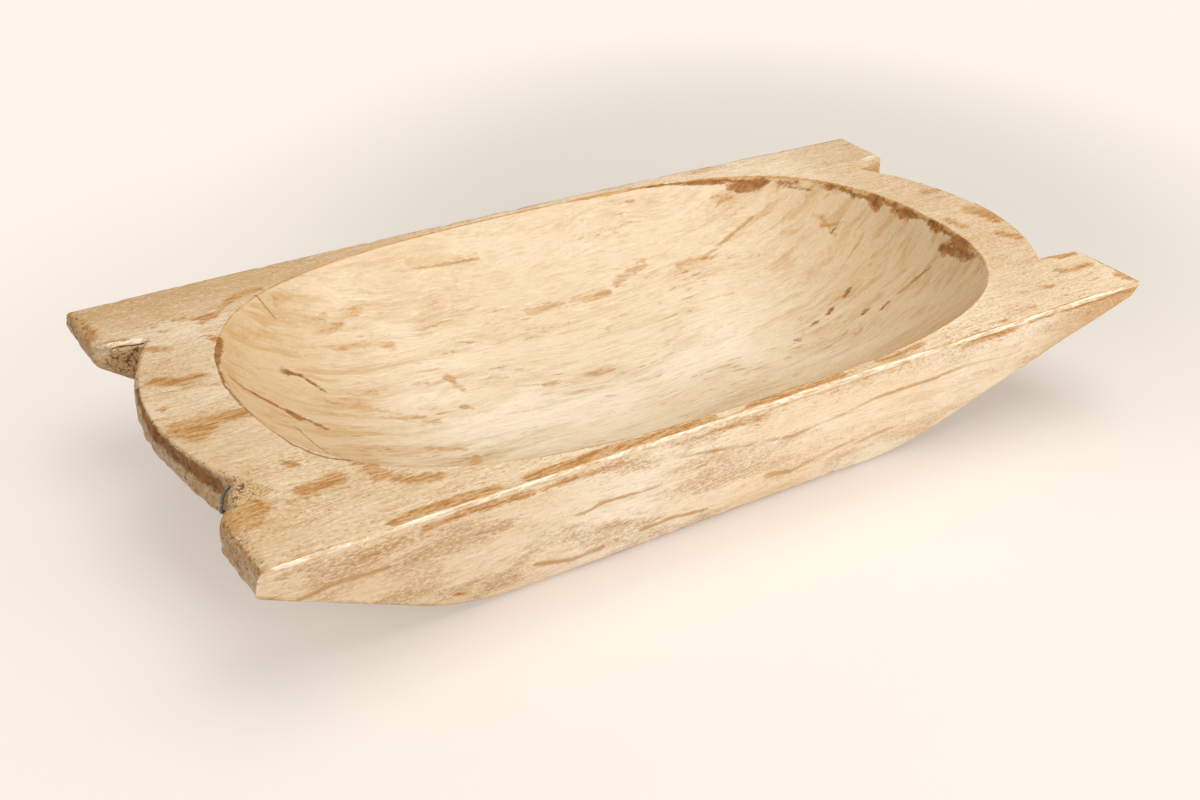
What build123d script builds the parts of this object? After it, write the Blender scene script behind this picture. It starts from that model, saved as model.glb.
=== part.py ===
"""Carved wooden dough bowl: a hollowed block with four corner horns, two old fills and a wire staple."""
import os
from math import atan2, cos, hypot, radians, sin, sqrt, tan

from build123d import *

# Carved block, before its edges wear
length = 502.0
width = 246.0
height = 80.0
side_lean = 19.3
base_turn_radius = 110.0

# Sloping underside of the ends, each with its thickness at the middle of the end
left_slope = 31.2
left_tip_thickness = 13.8
left_skew = 2.9
right_slope = 27.0
right_tip_thickness = 11.5

# Outline seen from above
back_bow = 4.0
rim_set_back = 1.0
notch_depth = 24.0
notch_span = 146.0
cheek_flare = 5.0

# Worn edges
horn_tip_radius = 7.0
lower_edge_radius = 6.0
top_edge_wear = 2.2
lip_wear = 1.4

# Hollow
rail_width = 6.5
end_rim_width = 42.0
floor_thickness = 20.0
hollow_fullness = 0.66
hollow_end_lean = 27.0

# Fill in the corner of the front left notch
fit_gap = 0.2
corner_fill_reach = 17.0
corner_fill_height = 19.0
corner_fill_drop = 0.5
corner_fill_bevel = 2.5

# Fill in the inner cheek of the back left horn
cheek_fill_depth = 8.0
cheek_fill_recess = 0.6
cheek_fill_inset = 1.5
cheek_fill_length = 14.0
cheek_skin = 2.9

# Wire staple in the end of the rim, beside the corner fill
wire_diameter = 1.4
staple_from_fill = 3.0
staple_drop = 5.5
staple_slant_width = 4.6
staple_slant_drop = 5.5
staple_bend_shift = 1.8
staple_run = 8.5
staple_leg = 8.0
leg_clearance = 0.1

# Places worked out from the sizes above
half_length = length / 2
half_width = width / 2
stock_half = half_length + height
left_turn = 180 - left_skew
rim_x = half_length - rim_set_back
notch_x = rim_x - notch_depth
notch_y = notch_span / 2
cheek_run = half_length - notch_x
tip_y = notch_y + cheek_flare
horn_middle_y = (tip_y + half_width) / 2
cheek_length = hypot(cheek_run, cheek_flare)
rim_radius = (notch_y**2 + notch_depth**2) / (2 * notch_depth)
rim_centre_x = rim_x - rim_radius
notch_angle = atan2(notch_y, notch_x - rim_centre_x)
hollow_depth = height - floor_thickness
lip_half_width = half_width - rail_width
lip_half_length = half_length - end_rim_width
wire_radius = wire_diameter / 2


def back_edge_drop(x: float) -> float:
    """How far the bowed back edge lies in front of its own middle at x."""
    bow_radius = (half_length**2 + back_bow**2) / (2 * back_bow)
    return bow_radius - sqrt(bow_radius**2 - x**2)


def left_rim_direction(arc_from_notch: float) -> Vector:
    """Outward direction of the left rim, at an arc length from its front notch."""
    angle = notch_angle - arc_from_notch / rim_radius
    return Vector(-cos(angle), -sin(angle))


def left_rim_point(arc_from_notch: float) -> Vector:
    """Point of the left rim's outline, at an arc length from its front notch."""
    return Vector(-rim_centre_x, 0) + left_rim_direction(arc_from_notch) * rim_radius


def slope_foot(slope: float, tip_thickness: float) -> float:
    """Distance from the middle at which the sloping underside of an end would meet the base."""
    return half_length - (height - tip_thickness) / tan(radians(slope))


def end_direction(turn: float) -> Vector:
    """Direction seen from above, turned from +X by an angle."""
    return Vector(cos(radians(turn)), sin(radians(turn)))


def underside_drop(from_notch: float) -> float:
    """Depth of the left underside below the top, at a distance along the back left cheek from its notch."""
    along = from_notch / cheek_length
    place = Vector(-notch_x - along * cheek_run, notch_y + along * cheek_flare)
    outward = place.dot(end_direction(left_turn)) - slope_foot(left_slope, left_tip_thickness)
    return height - outward * tan(radians(left_slope))


def horn_end_edges(block: BuildPart) -> ShapeList:
    """Standing edges in the planes of the horns' ends."""
    standing = block.edges().filter_by(lambda edge: abs(edge.tangent_at(0.5).Z) > 0.5)
    return standing.filter_by(lambda edge: abs(edge.center().X) > half_length - 0.01)


# Pocket in the cheek of the back left horn, drawn on the cheek with its origin at the notch corner
cheek_plane = Plane(
    origin=(-notch_x, notch_y, height),
    x_dir=(-cheek_run, cheek_flare, 0),
    z_dir=(cheek_flare, cheek_run, 0),
)
pocket_start = cheek_fill_inset
pocket_end = pocket_start + cheek_fill_length
pocket_corners = [
    (pocket_start, -cheek_skin),
    (pocket_end, -cheek_skin),
    (pocket_end, cheek_skin - underside_drop(pocket_end)),
    (pocket_start, cheek_skin - underside_drop(pocket_start)),
]

# Face of the left rim where the staple is driven, with its origin above the staple's lower leg
staple_arc = corner_fill_reach + staple_from_fill + staple_slant_width
staple_out = left_rim_direction(staple_arc)
staple_plane = Plane(
    origin=left_rim_point(staple_arc) + Vector(0, 0, height),
    x_dir=staple_out.cross(Vector(0, 0, -1)),
    z_dir=staple_out,
)
upper_leg = (staple_slant_width, -staple_drop)
crown_bend = (staple_bend_shift, -staple_drop - staple_slant_drop)
lower_leg = (0, crown_bend[1] - staple_run)

with BuildPart() as bowl:
    # Stock with leaning long sides and a bowed back
    with BuildSketch(Plane.XY.offset(height)):
        with BuildLine():
            back_end_y = half_width - back_edge_drop(stock_half)
            back = ThreePointArc((stock_half, back_end_y), (0, half_width), (-stock_half, back_end_y))
            Polyline(back @ 1, (-stock_half, -half_width), (stock_half, -half_width), back @ 0)
        make_face()
    extrude(amount=-height, taper=side_lean)

    # Boat-shaped side profile, one end at a time
    ends = ((0, right_slope, right_tip_thickness), (left_turn, left_slope, left_tip_thickness))
    for turn, slope, tip_thickness in ends:
        foot = slope_foot(slope, tip_thickness)
        head = foot + height / tan(radians(slope))
        outward = end_direction(turn)
        with BuildSketch(Plane(origin=(0, 0, 0), x_dir=outward, z_dir=outward.cross(Vector(0, 0, 1)))):
            with BuildLine():
                Polyline((head, height), (foot, 0), (-stock_half, 0), (-stock_half, height), close=True)
            profile = make_face()
            fillet(profile.vertices().group_by(Axis.Y)[0].sort_by(Axis.X)[-1], base_turn_radius)
        extrude(amount=width, both=True, mode=Mode.INTERSECT)

    # Plan of the ends: square horns, notches and the bulging rim between them
    with BuildSketch():
        with BuildLine():
            Polyline((0, width), (half_length, width), (half_length, tip_y), (notch_x, notch_y))
            ThreePointArc((notch_x, notch_y), (rim_x, 0), (notch_x, -notch_y))
            Polyline((notch_x, -notch_y), (half_length, -tip_y), (half_length, -width), (0, -width))
            mirror(about=Plane.YZ)
        make_face()
    extrude(amount=height, mode=Mode.INTERSECT)

    # Softened lower edges, worn horn tips and the bevel round the top
    long_sides = bowl.faces().filter_by(lambda face: abs(face.normal_at().Y) > 0.9)
    long_edges = long_sides.sort_by(SortBy.AREA)[-2:].edges()
    lower_limit = height - left_tip_thickness - right_tip_thickness
    lower_edges = long_edges.filter_by(lambda edge: edge.center().Z < lower_limit)
    fillet(lower_edges, lower_edge_radius)
    horn_tips = horn_end_edges(bowl).filter_by(lambda edge: abs(edge.center().Y) < horn_middle_y)
    fillet(horn_tips, horn_tip_radius)
    chamfer(bowl.faces().sort_by(Axis.Z)[-1].edges(), top_edge_wear)

    # Hollow, turned about an axis above the bowl so that every cross-section is an arc
    axis_rise = (lip_half_width**2 - hollow_depth**2) / (2 * hollow_depth)
    axis_height = height + axis_rise
    lean_rate = tan(radians(hollow_end_lean))
    with BuildSketch(Plane.XZ):
        with BuildLine():
            wall_drop = hollow_fullness * hollow_depth
            wall = Bezier(
                (lip_half_length, height),
                (lip_half_length - lean_rate * wall_drop, height - wall_drop),
                (hollow_fullness * lip_half_length, floor_thickness),
                (0, floor_thickness),
            )
            Polyline(wall @ 0, (lip_half_length + lean_rate * axis_rise, axis_height), (0, axis_height))
            mirror(about=Plane.YZ)
        make_face()
    revolve(axis=Axis((0, 0, axis_height), (1, 0, 0)), mode=Mode.SUBTRACT)
    top_face = bowl.faces().filter_by(Axis.Z).sort_by(Axis.Z)[-1]
    chamfer(top_face.inner_wires().edges(), lip_wear)

    # Pocket of the cheek fill and holes for the staple's legs
    with BuildSketch(cheek_plane):
        with BuildLine():
            Polyline(*pocket_corners, close=True)
        make_face()
    extrude(amount=cheek_fill_depth, mode=Mode.SUBTRACT)
    with BuildSketch(staple_plane):
        with Locations(upper_leg, lower_leg):
            Circle(wire_radius + leg_clearance)
    extrude(amount=-staple_leg - leg_clearance, mode=Mode.SUBTRACT)
bowl.part.label = "bowl_body"

# Fill wedged between the rim and the cheek of the front left horn
with BuildPart() as corner_fill:
    with BuildSketch(Plane.XY.offset(height - corner_fill_drop)):
        with BuildLine():
            notch_corner = Vector(-notch_x, -notch_y)
            along_cheek = Vector(-cheek_run, -cheek_flare).normalized() * corner_fill_reach
            Polyline(notch_corner, left_rim_point(corner_fill_reach), notch_corner + along_cheek, close=True)
        make_face()
        with Locations((-rim_centre_x, 0)):
            Circle(rim_radius + fit_gap, mode=Mode.SUBTRACT)
    extrude(amount=-corner_fill_height)
    free_face = corner_fill.faces().filter_by(GeomType.PLANE).sort_by(Axis.X)[0]
    chamfer(free_face.edges().sort_by(Axis.Z)[-1], corner_fill_bevel)
corner_fill.part.label = "front_notch_filler"

# Fill sunk into the cheek of the back left horn
with BuildPart() as cheek_fill:
    with BuildSketch(cheek_plane.offset(cheek_fill_recess)):
        with BuildLine():
            Polyline(*pocket_corners, close=True)
        make_face()
        offset(amount=-fit_gap, mode=Mode.REPLACE)
    extrude(amount=cheek_fill_depth - cheek_fill_recess)
cheek_fill.part.label = "back_notch_filler"

# Bent wire staple lying on the end of the rim
with BuildPart() as staple:
    crown = wire_radius + fit_gap
    with BuildLine(staple_plane) as wire_path:
        Polyline(
            (*upper_leg, -staple_leg),
            (*upper_leg, crown),
            (*crown_bend, crown),
            (*lower_leg, crown),
            (*lower_leg, -staple_leg),
        )
    with BuildSketch(Plane(origin=wire_path.line @ 0, z_dir=wire_path.line % 0)):
        Circle(wire_radius)
    sweep(path=wire_path.line, transition=Transition.RIGHT)
staple.part.label = "notch_staple"

os.makedirs("parts", exist_ok=True)
for piece in (bowl, corner_fill, cheek_fill, staple):
    export_step(piece.part, f"parts/{piece.part.label}.step")
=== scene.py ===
"""Looks of a carved wooden dough bowl: worn cream wash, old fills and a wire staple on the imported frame."""

import logging
import math
from dataclasses import dataclass, field
from enum import Enum
from functools import partial, reduce
from typing import Any

import bmesh
import bpy
import numpy as np
from mathutils import Matrix, Vector, noise


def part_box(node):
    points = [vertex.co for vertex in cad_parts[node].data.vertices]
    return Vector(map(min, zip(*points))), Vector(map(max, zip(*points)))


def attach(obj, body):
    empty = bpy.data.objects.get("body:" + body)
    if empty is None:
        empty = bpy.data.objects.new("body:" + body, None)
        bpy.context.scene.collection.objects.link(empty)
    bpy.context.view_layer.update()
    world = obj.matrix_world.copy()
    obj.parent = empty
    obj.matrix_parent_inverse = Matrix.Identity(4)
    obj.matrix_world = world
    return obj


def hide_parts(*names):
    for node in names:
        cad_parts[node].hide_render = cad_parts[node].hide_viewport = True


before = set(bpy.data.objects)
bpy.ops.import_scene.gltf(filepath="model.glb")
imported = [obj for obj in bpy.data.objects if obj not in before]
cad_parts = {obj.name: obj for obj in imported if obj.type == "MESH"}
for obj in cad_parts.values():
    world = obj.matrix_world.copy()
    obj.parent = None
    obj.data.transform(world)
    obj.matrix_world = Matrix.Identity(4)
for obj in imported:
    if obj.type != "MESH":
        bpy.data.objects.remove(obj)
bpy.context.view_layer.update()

log = logging.getLogger("dough_bowl")
Pair = tuple[float, float]
Triple = tuple[float, float, float]
Colour = tuple[float, float, float, float]
Socket = bpy.types.NodeSocket

MM = 0.001
FAR_MM = 99.0
ROUND_STEPS = (0.2, 0.4, 0.6, 0.8)
EDGE_STEPS = (0.17, 0.34, 0.5, 0.66, 0.83)


class Zone(Enum):
    """Parts of the bowl's skin, from the hollow outwards and round to the underside."""

    HOLLOW = 0
    LIP = 1
    TOP = 2
    EDGE = 3
    WALL = 4
    FOOT = 5
    UNDERSIDE = 6


class Side(Enum):
    """Parts of the bowl's outline."""

    RIM = 0
    CHEEK = 1
    HORN_TIP = 2
    HORN_END = 3
    LONG_SIDE = 4


class Face(Enum):
    """Surfaces that a mark lies on, each with the two axes that its places are given in."""

    HOLLOW = ("hollow", 0, 1)
    TOP = ("top", 0, 1)
    OUTLINE = ("outline", 0, 1)
    FRONT = ("front", 0, 2)
    LEFT_END = ("left end", 1, 2)


class Mark(Enum):
    """Ways in which the finish is worn, with a painted highlight on the worn front edge, by the name of the
    number that they leave on the mesh.
    """

    RUB = "rub"
    TEAR = "tear"
    PALE = "pale"
    EDGE = "edge_rub"
    # Pale bare fibre, with a painted highlight along the front edge
    BRIGHT = "edge_bright"
    LIP = "lip_rub"
    LINE = "line"
    VEIN = "vein"


# Heights of the broad, middle and small waves of the hand-worked surface and its shift, up to each zone
CARVING = {
    Zone.LIP: (0.55, 0.3, 0.08, 0.0),
    Zone.EDGE: (0.2, 0.14, 0.06, -0.3),
    Zone.FOOT: (0.5, 0.32, 0.1, -0.35),
    Zone.UNDERSIDE: (0.3, 0.2, 0.0, -0.4),
}


def linear(code: str) -> Colour:
    """Turns a written colour into the values that a shader takes.

    Args:
        code: Six hexadecimal digits, red, green and blue.

    Returns:
        Linear red, green and blue with an alpha of one.
    """
    parts = [int(code[i : i + 2], 16) / 255 for i in (0, 2, 4)]
    red, green, blue = (c / 12.92 if c <= 0.04045 else ((c + 0.055) / 1.055) ** 2.4 for c in parts)
    return red, green, blue, 1.0


def smooth(value: Any, low: float, high: float) -> Any:
    """Smooth step of a value or an array from 0 at low to 1 at high."""
    t = np.clip((value - low) / (high - low), 0.0, 1.0)
    return t * t * (3 - 2 * t)


def wave(place: Vector, x: float, y: float, z: float) -> float:
    """Smooth noise between -1 and 1 at a place in millimetres, with a wavelength along each axis."""
    return noise.noise(Vector((place.x / x, place.y / y, place.z / z)))


def curve(start: np.ndarray, corner: np.ndarray, end: np.ndarray, t: float) -> np.ndarray:
    """Point of the quadratic curve that rounds a corner."""
    return start * (1 - t) ** 2 + corner * 2 * t * (1 - t) + end * t * t


def lengths(rows: np.ndarray) -> np.ndarray:
    """Length of each row of an array."""
    return np.linalg.norm(rows, axis=1)


def circle(angles: np.ndarray) -> np.ndarray:
    """Places on a circle of radius one."""
    return np.stack([np.cos(angles), np.sin(angles)], 1)


def raised(plan: np.ndarray, z: Any) -> np.ndarray:
    """Places from a plan and a height."""
    return np.column_stack([plan, np.broadcast_to(z, len(plan))])


def path_distance(places: np.ndarray, path: tuple[Pair, ...]) -> tuple[np.ndarray, np.ndarray]:
    """Measures places against a drawn path.

    Args:
        places: Array of places, two numbers each.
        path: Corners of the path.

    Returns:
        Distance of each place from the path, and the distance from the line that it follows, with a
        sign for the side that the place lies on.
    """
    nearest = np.full(len(places), np.inf)
    signed = np.full(len(places), np.inf)
    for first, last in zip(path[:-1], path[1:]):
        run = np.subtract(last, first)
        off = places - np.asarray(first)
        share = np.clip(off @ run / (run @ run), 0, 1)
        distance = lengths(off - share[:, None] * run)
        across = (run[0] * off[:, 1] - run[1] * off[:, 0]) / np.linalg.norm(run)
        closer = distance < nearest
        nearest = np.where(closer, distance, nearest)
        signed = np.where(closer, across, signed)
    return nearest, signed


def place_object(name: str, mesh: bpy.types.Mesh, node: str) -> None:
    """Puts a finished mesh into the scene in the place of a node.

    Args:
        name: Name of the new piece.
        mesh: Finished mesh, in metres and in the shared frame.
        node: Node of the frame that the piece stands for.
    """
    piece = bpy.data.objects.new(name, mesh)
    bpy.context.scene.collection.objects.link(piece)
    mesh.shade_smooth()
    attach(piece, "root")
    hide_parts(node)
    log.info("%s: %d faces for %s", name, len(mesh.polygons), node)


class Graph:
    """Adds and joins the nodes of one material or node group."""

    def __init__(self, tree: bpy.types.NodeTree) -> None:
        """Keeps the tree that the nodes go into."""
        self.tree = tree

    def feed(self, socket: Socket, value: Any) -> None:
        """Links a socket to another one, or sets its value.

        Args:
            socket: Input to feed.
            value: Output to link, or the value to set.
        """
        if isinstance(value, Socket):
            self.tree.links.new(value, socket)
        else:
            socket.default_value = value

    def add(self, kind: str, inputs: dict[Any, Any] | None = None, **settings: Any) -> bpy.types.Node:
        """Adds a node.

        Args:
            kind: Blender's name of the node type, without its common start.
            inputs: Sockets to link, or values to set, by name or number.
            settings: Properties of the node.

        Returns:
            The new node.
        """
        node = self.tree.nodes.new("ShaderNode" + kind)
        for name, value in settings.items():
            setattr(node, name, value)
        for name, value in (inputs or {}).items():
            self.feed(node.inputs[name], value)
        return node

    def math(self, operation: str, *values: Any) -> Socket:
        """Result of a sum on numbers or sockets."""
        return self.add("Math", dict(enumerate(values)), operation=operation).outputs[0]

    def times(self, *values: Any) -> Socket:
        """Product of numbers or sockets."""
        return reduce(partial(self.math, "MULTIPLY"), values)

    def most(self, *values: Any) -> Socket:
        """Largest of numbers or sockets."""
        return reduce(partial(self.math, "MAXIMUM"), values)

    def plus(self, first: Any, second: Any) -> Socket:
        """Sum of two numbers or sockets."""
        return self.math("ADD", first, second)

    def less(self, first: Any, second: Any) -> Socket:
        """First number or socket less the second."""
        return self.math("SUBTRACT", first, second)

    def rest(self, value: Any, share: float = 1.0) -> Socket:
        """What a share of a value leaves of one."""
        return self.less(1.0, self.times(value, share))

    def vector(self, operation: str, first: Any, second: Any) -> bpy.types.Node:
        """Node for a sum on two vectors."""
        return self.add("VectorMath", {0: first, 1: second}, operation=operation)

    def scaled(self, place: Any, by: Triple) -> Socket:
        """A vector multiplied along each axis."""
        return self.vector("MULTIPLY", place, by).outputs[0]

    def sized(self, place: Any, scale: Any) -> Socket:
        """A vector multiplied by one number."""
        return self.add("VectorMath", {0: place, "Scale": scale}, operation="SCALE").outputs[0]

    def step(self, value: Any, low: Any, high: Any, out: Any = 1.0) -> Socket:
        """Smooth step from 0 at low to out at high."""
        inputs = {"Value": value, 1: low, 2: high, 3: 0.0, 4: out}
        return self.add("MapRange", inputs, interpolation_type="SMOOTHSTEP").outputs[0]

    def mix(self, share: Any, first: Any, second: Any) -> Socket:
        """One colour laid over another by a share."""
        return self.add("Mix", {0: share, 6: first, 7: second}, data_type="RGBA").outputs[2]

    def noise(self, place: Any, scale: float, detail: float = 3.0, rough: float = 0.55) -> Socket:
        """Noise between 0 and 1 at a place in millimetres."""
        inputs = {"Vector": place, "Scale": scale, "Detail": detail, "Roughness": rough}
        return self.add("TexNoise", inputs).outputs[0]

    def attribute(self, name: str) -> Socket:
        """A number kept on the mesh's own vertices."""
        return self.add("Attribute", attribute_name=name).outputs["Fac"]

    def place(self) -> Socket:
        """The object's own coordinates in millimetres."""
        coordinates = self.add("TexCoord").outputs["Object"]
        return self.scaled(coordinates, (1 / MM, 1 / MM, 1 / MM))

    def bump(self, shader: bpy.types.Node, height: Any, strength: float, depth_mm: float) -> None:
        """Roughens a shader by a height."""
        node = self.add("Bump", {"Strength": strength, "Distance": depth_mm * MM, "Height": height})
        self.feed(shader.inputs["Normal"], node.outputs[0])


@dataclass
class Effects:
    """Node groups that more than one finish uses, built once."""

    groups: dict[str, bpy.types.NodeTree] = field(default_factory=dict)

    def start(self, name: str, inputs: dict[str, Any], outputs: tuple[str, ...]) -> tuple[Graph, Any, Any]:
        """Opens a new group.

        Args:
            name: Name of the group.
            inputs: Input sockets with their first values, a vector where the value is None.
            outputs: Names of the output sockets.

        Returns:
            The group's graph, and its input and output sockets.
        """
        tree = bpy.data.node_groups.new(name, "ShaderNodeTree")
        for label, value in inputs.items():
            kind = "NodeSocketVector" if value is None else "NodeSocketFloat"
            socket = tree.interface.new_socket(label, in_out="INPUT", socket_type=kind)
            if value is not None:
                socket.default_value = value
        for label in outputs:
            tree.interface.new_socket(label, in_out="OUTPUT", socket_type="NodeSocketFloat")
        self.groups[name] = tree
        ends = tree.nodes.new("NodeGroupInput"), tree.nodes.new("NodeGroupOutput")
        return Graph(tree), ends[0].outputs, ends[1].inputs

    def build(self) -> None:
        """Builds every group."""
        self.build_grain()
        self.build_ragged()
        self.build_speckle()

    def build_grain(self) -> None:
        """Wavy grain along X: broad clouds, smudges, dashes, flecks, streaks, fine fibre and even grit."""
        names = ("Cloud", "Smudge", "Dash", "Fleck", "Streak", "Fibre", "Grit")
        graph, given, result = self.start("wood_grain", {"Place": None, "Scale": 1.0}, names)
        sized = graph.sized(given["Place"], given["Scale"])
        slow = {"Vector": graph.scaled(sized, (0.5, 1, 1)), "Scale": 0.02, "Detail": 2.0}
        swirl = graph.add("TexNoise", slow).outputs["Color"]
        centred = graph.vector("SUBTRACT", swirl, (0.5, 0.5, 0.5)).outputs[0]
        drift = graph.scaled(centred, (0, 26, 18))
        wavy = graph.vector("ADD", sized, drift).outputs[0]
        rows = (
            ("Cloud", sized, (0.45, 1, 0.7), 0.02, 3.0, 0.55),
            ("Smudge", wavy, (0.22, 1, 0.5), 0.06, 4.0, 0.62),
            ("Dash", wavy, (0.2, 1, 0.4), 0.14, 4.0, 0.6),
            ("Fleck", wavy, (0.2, 1, 0.55), 0.34, 4.0, 0.66),
            ("Streak", wavy, (0.07, 1, 0.3), 0.2, 4.0, 0.6),
            ("Fibre", wavy, (0.09, 1, 0.7), 0.75, 4.0, 0.75),
            ("Grit", sized, (0.55, 1, 1), 0.8, 3.0, 0.8),
        )
        for name, place, stretch, scale, detail, rough in rows:
            graph.feed(result[name], graph.noise(graph.scaled(place, stretch), scale, detail, rough))

    def build_ragged(self) -> None:
        """Turns a soft amount of wear into a mask with a torn border that follows the grain."""
        inputs = {"Amount": 0.0, "Place": None, "Tear": 0.9, "Softness": 0.12}
        graph, given, result = self.start("ragged_wear", inputs, ("Mask",))
        coarse = graph.noise(graph.scaled(given["Place"], (0.2, 1, 0.5)), 0.16, 5.0, 0.7)
        fine = graph.noise(graph.scaled(given["Place"], (0.35, 1, 1)), 0.7, 3.0, 0.75)
        both = graph.plus(graph.times(coarse, 2.0), fine)
        swing = graph.times(graph.less(both, 1.5), given["Tear"])
        worn = graph.plus(given["Amount"], swing)
        gate = graph.step(given["Amount"], 0.0, 0.3)
        low, high = graph.less(0.5, given["Softness"]), graph.plus(0.5, given["Softness"])
        graph.feed(result["Mask"], graph.times(graph.step(worn, low, high), gate))

    def build_speckle(self) -> None:
        """Small dark grains and pores."""
        inputs = {"Place": None, "Size": 1.0, "Share": 0.35}
        graph, given, result = self.start("speckle", inputs, ("Mask", "Grain"))
        sized = graph.sized(given["Place"], graph.math("DIVIDE", 1.0, given["Size"]))
        grain = graph.noise(sized, 1.0, 2.0, 0.6)
        limit = graph.plus(0.34, graph.times(given["Share"], 0.3))
        graph.feed(result["Mask"], graph.step(grain, limit, graph.less(limit, 0.1)))
        graph.feed(result["Grain"], grain)

    def use(self, graph: Graph, name: str, **inputs: Any) -> Any:
        """Places a group in a graph.

        Args:
            graph: Graph of the material.
            name: Name of the group.
            inputs: Sockets to link, or values to set.

        Returns:
            The outputs of the placed group.
        """
        node = graph.add("Group", node_tree=self.groups[name])
        for label, value in inputs.items():
            graph.feed(node.inputs[label], value)
        return node.outputs

    def ragged(
        self, graph: Graph, place: Any, amount: Any, tear: float = 0.9, softness: float = 0.2
    ) -> Socket:
        """Mask of an amount of wear with a torn border."""
        inputs = {"Amount": amount, "Place": place, "Tear": tear, "Softness": softness}
        return self.use(graph, "ragged_wear", **inputs)["Mask"]

    def speckle(self, graph: Graph, place: Any, size: float, share: float) -> Any:
        """Mask and grain of small pores."""
        return self.use(graph, "speckle", Place=place, Size=size, Share=share)


def new_material(name: str) -> tuple[bpy.types.Material, Graph, bpy.types.Node]:
    """Starts a material.

    Args:
        name: Name of the material.

    Returns:
        The material, its graph and its shader node.
    """
    material = bpy.data.materials.new(name)
    material.use_nodes = True
    material.node_tree.nodes.clear()
    graph = Graph(material.node_tree)
    shader = graph.add("BsdfPrincipled")
    output = graph.add("OutputMaterial")
    graph.feed(output.inputs["Surface"], shader.outputs[0])
    return material, graph, shader


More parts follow.
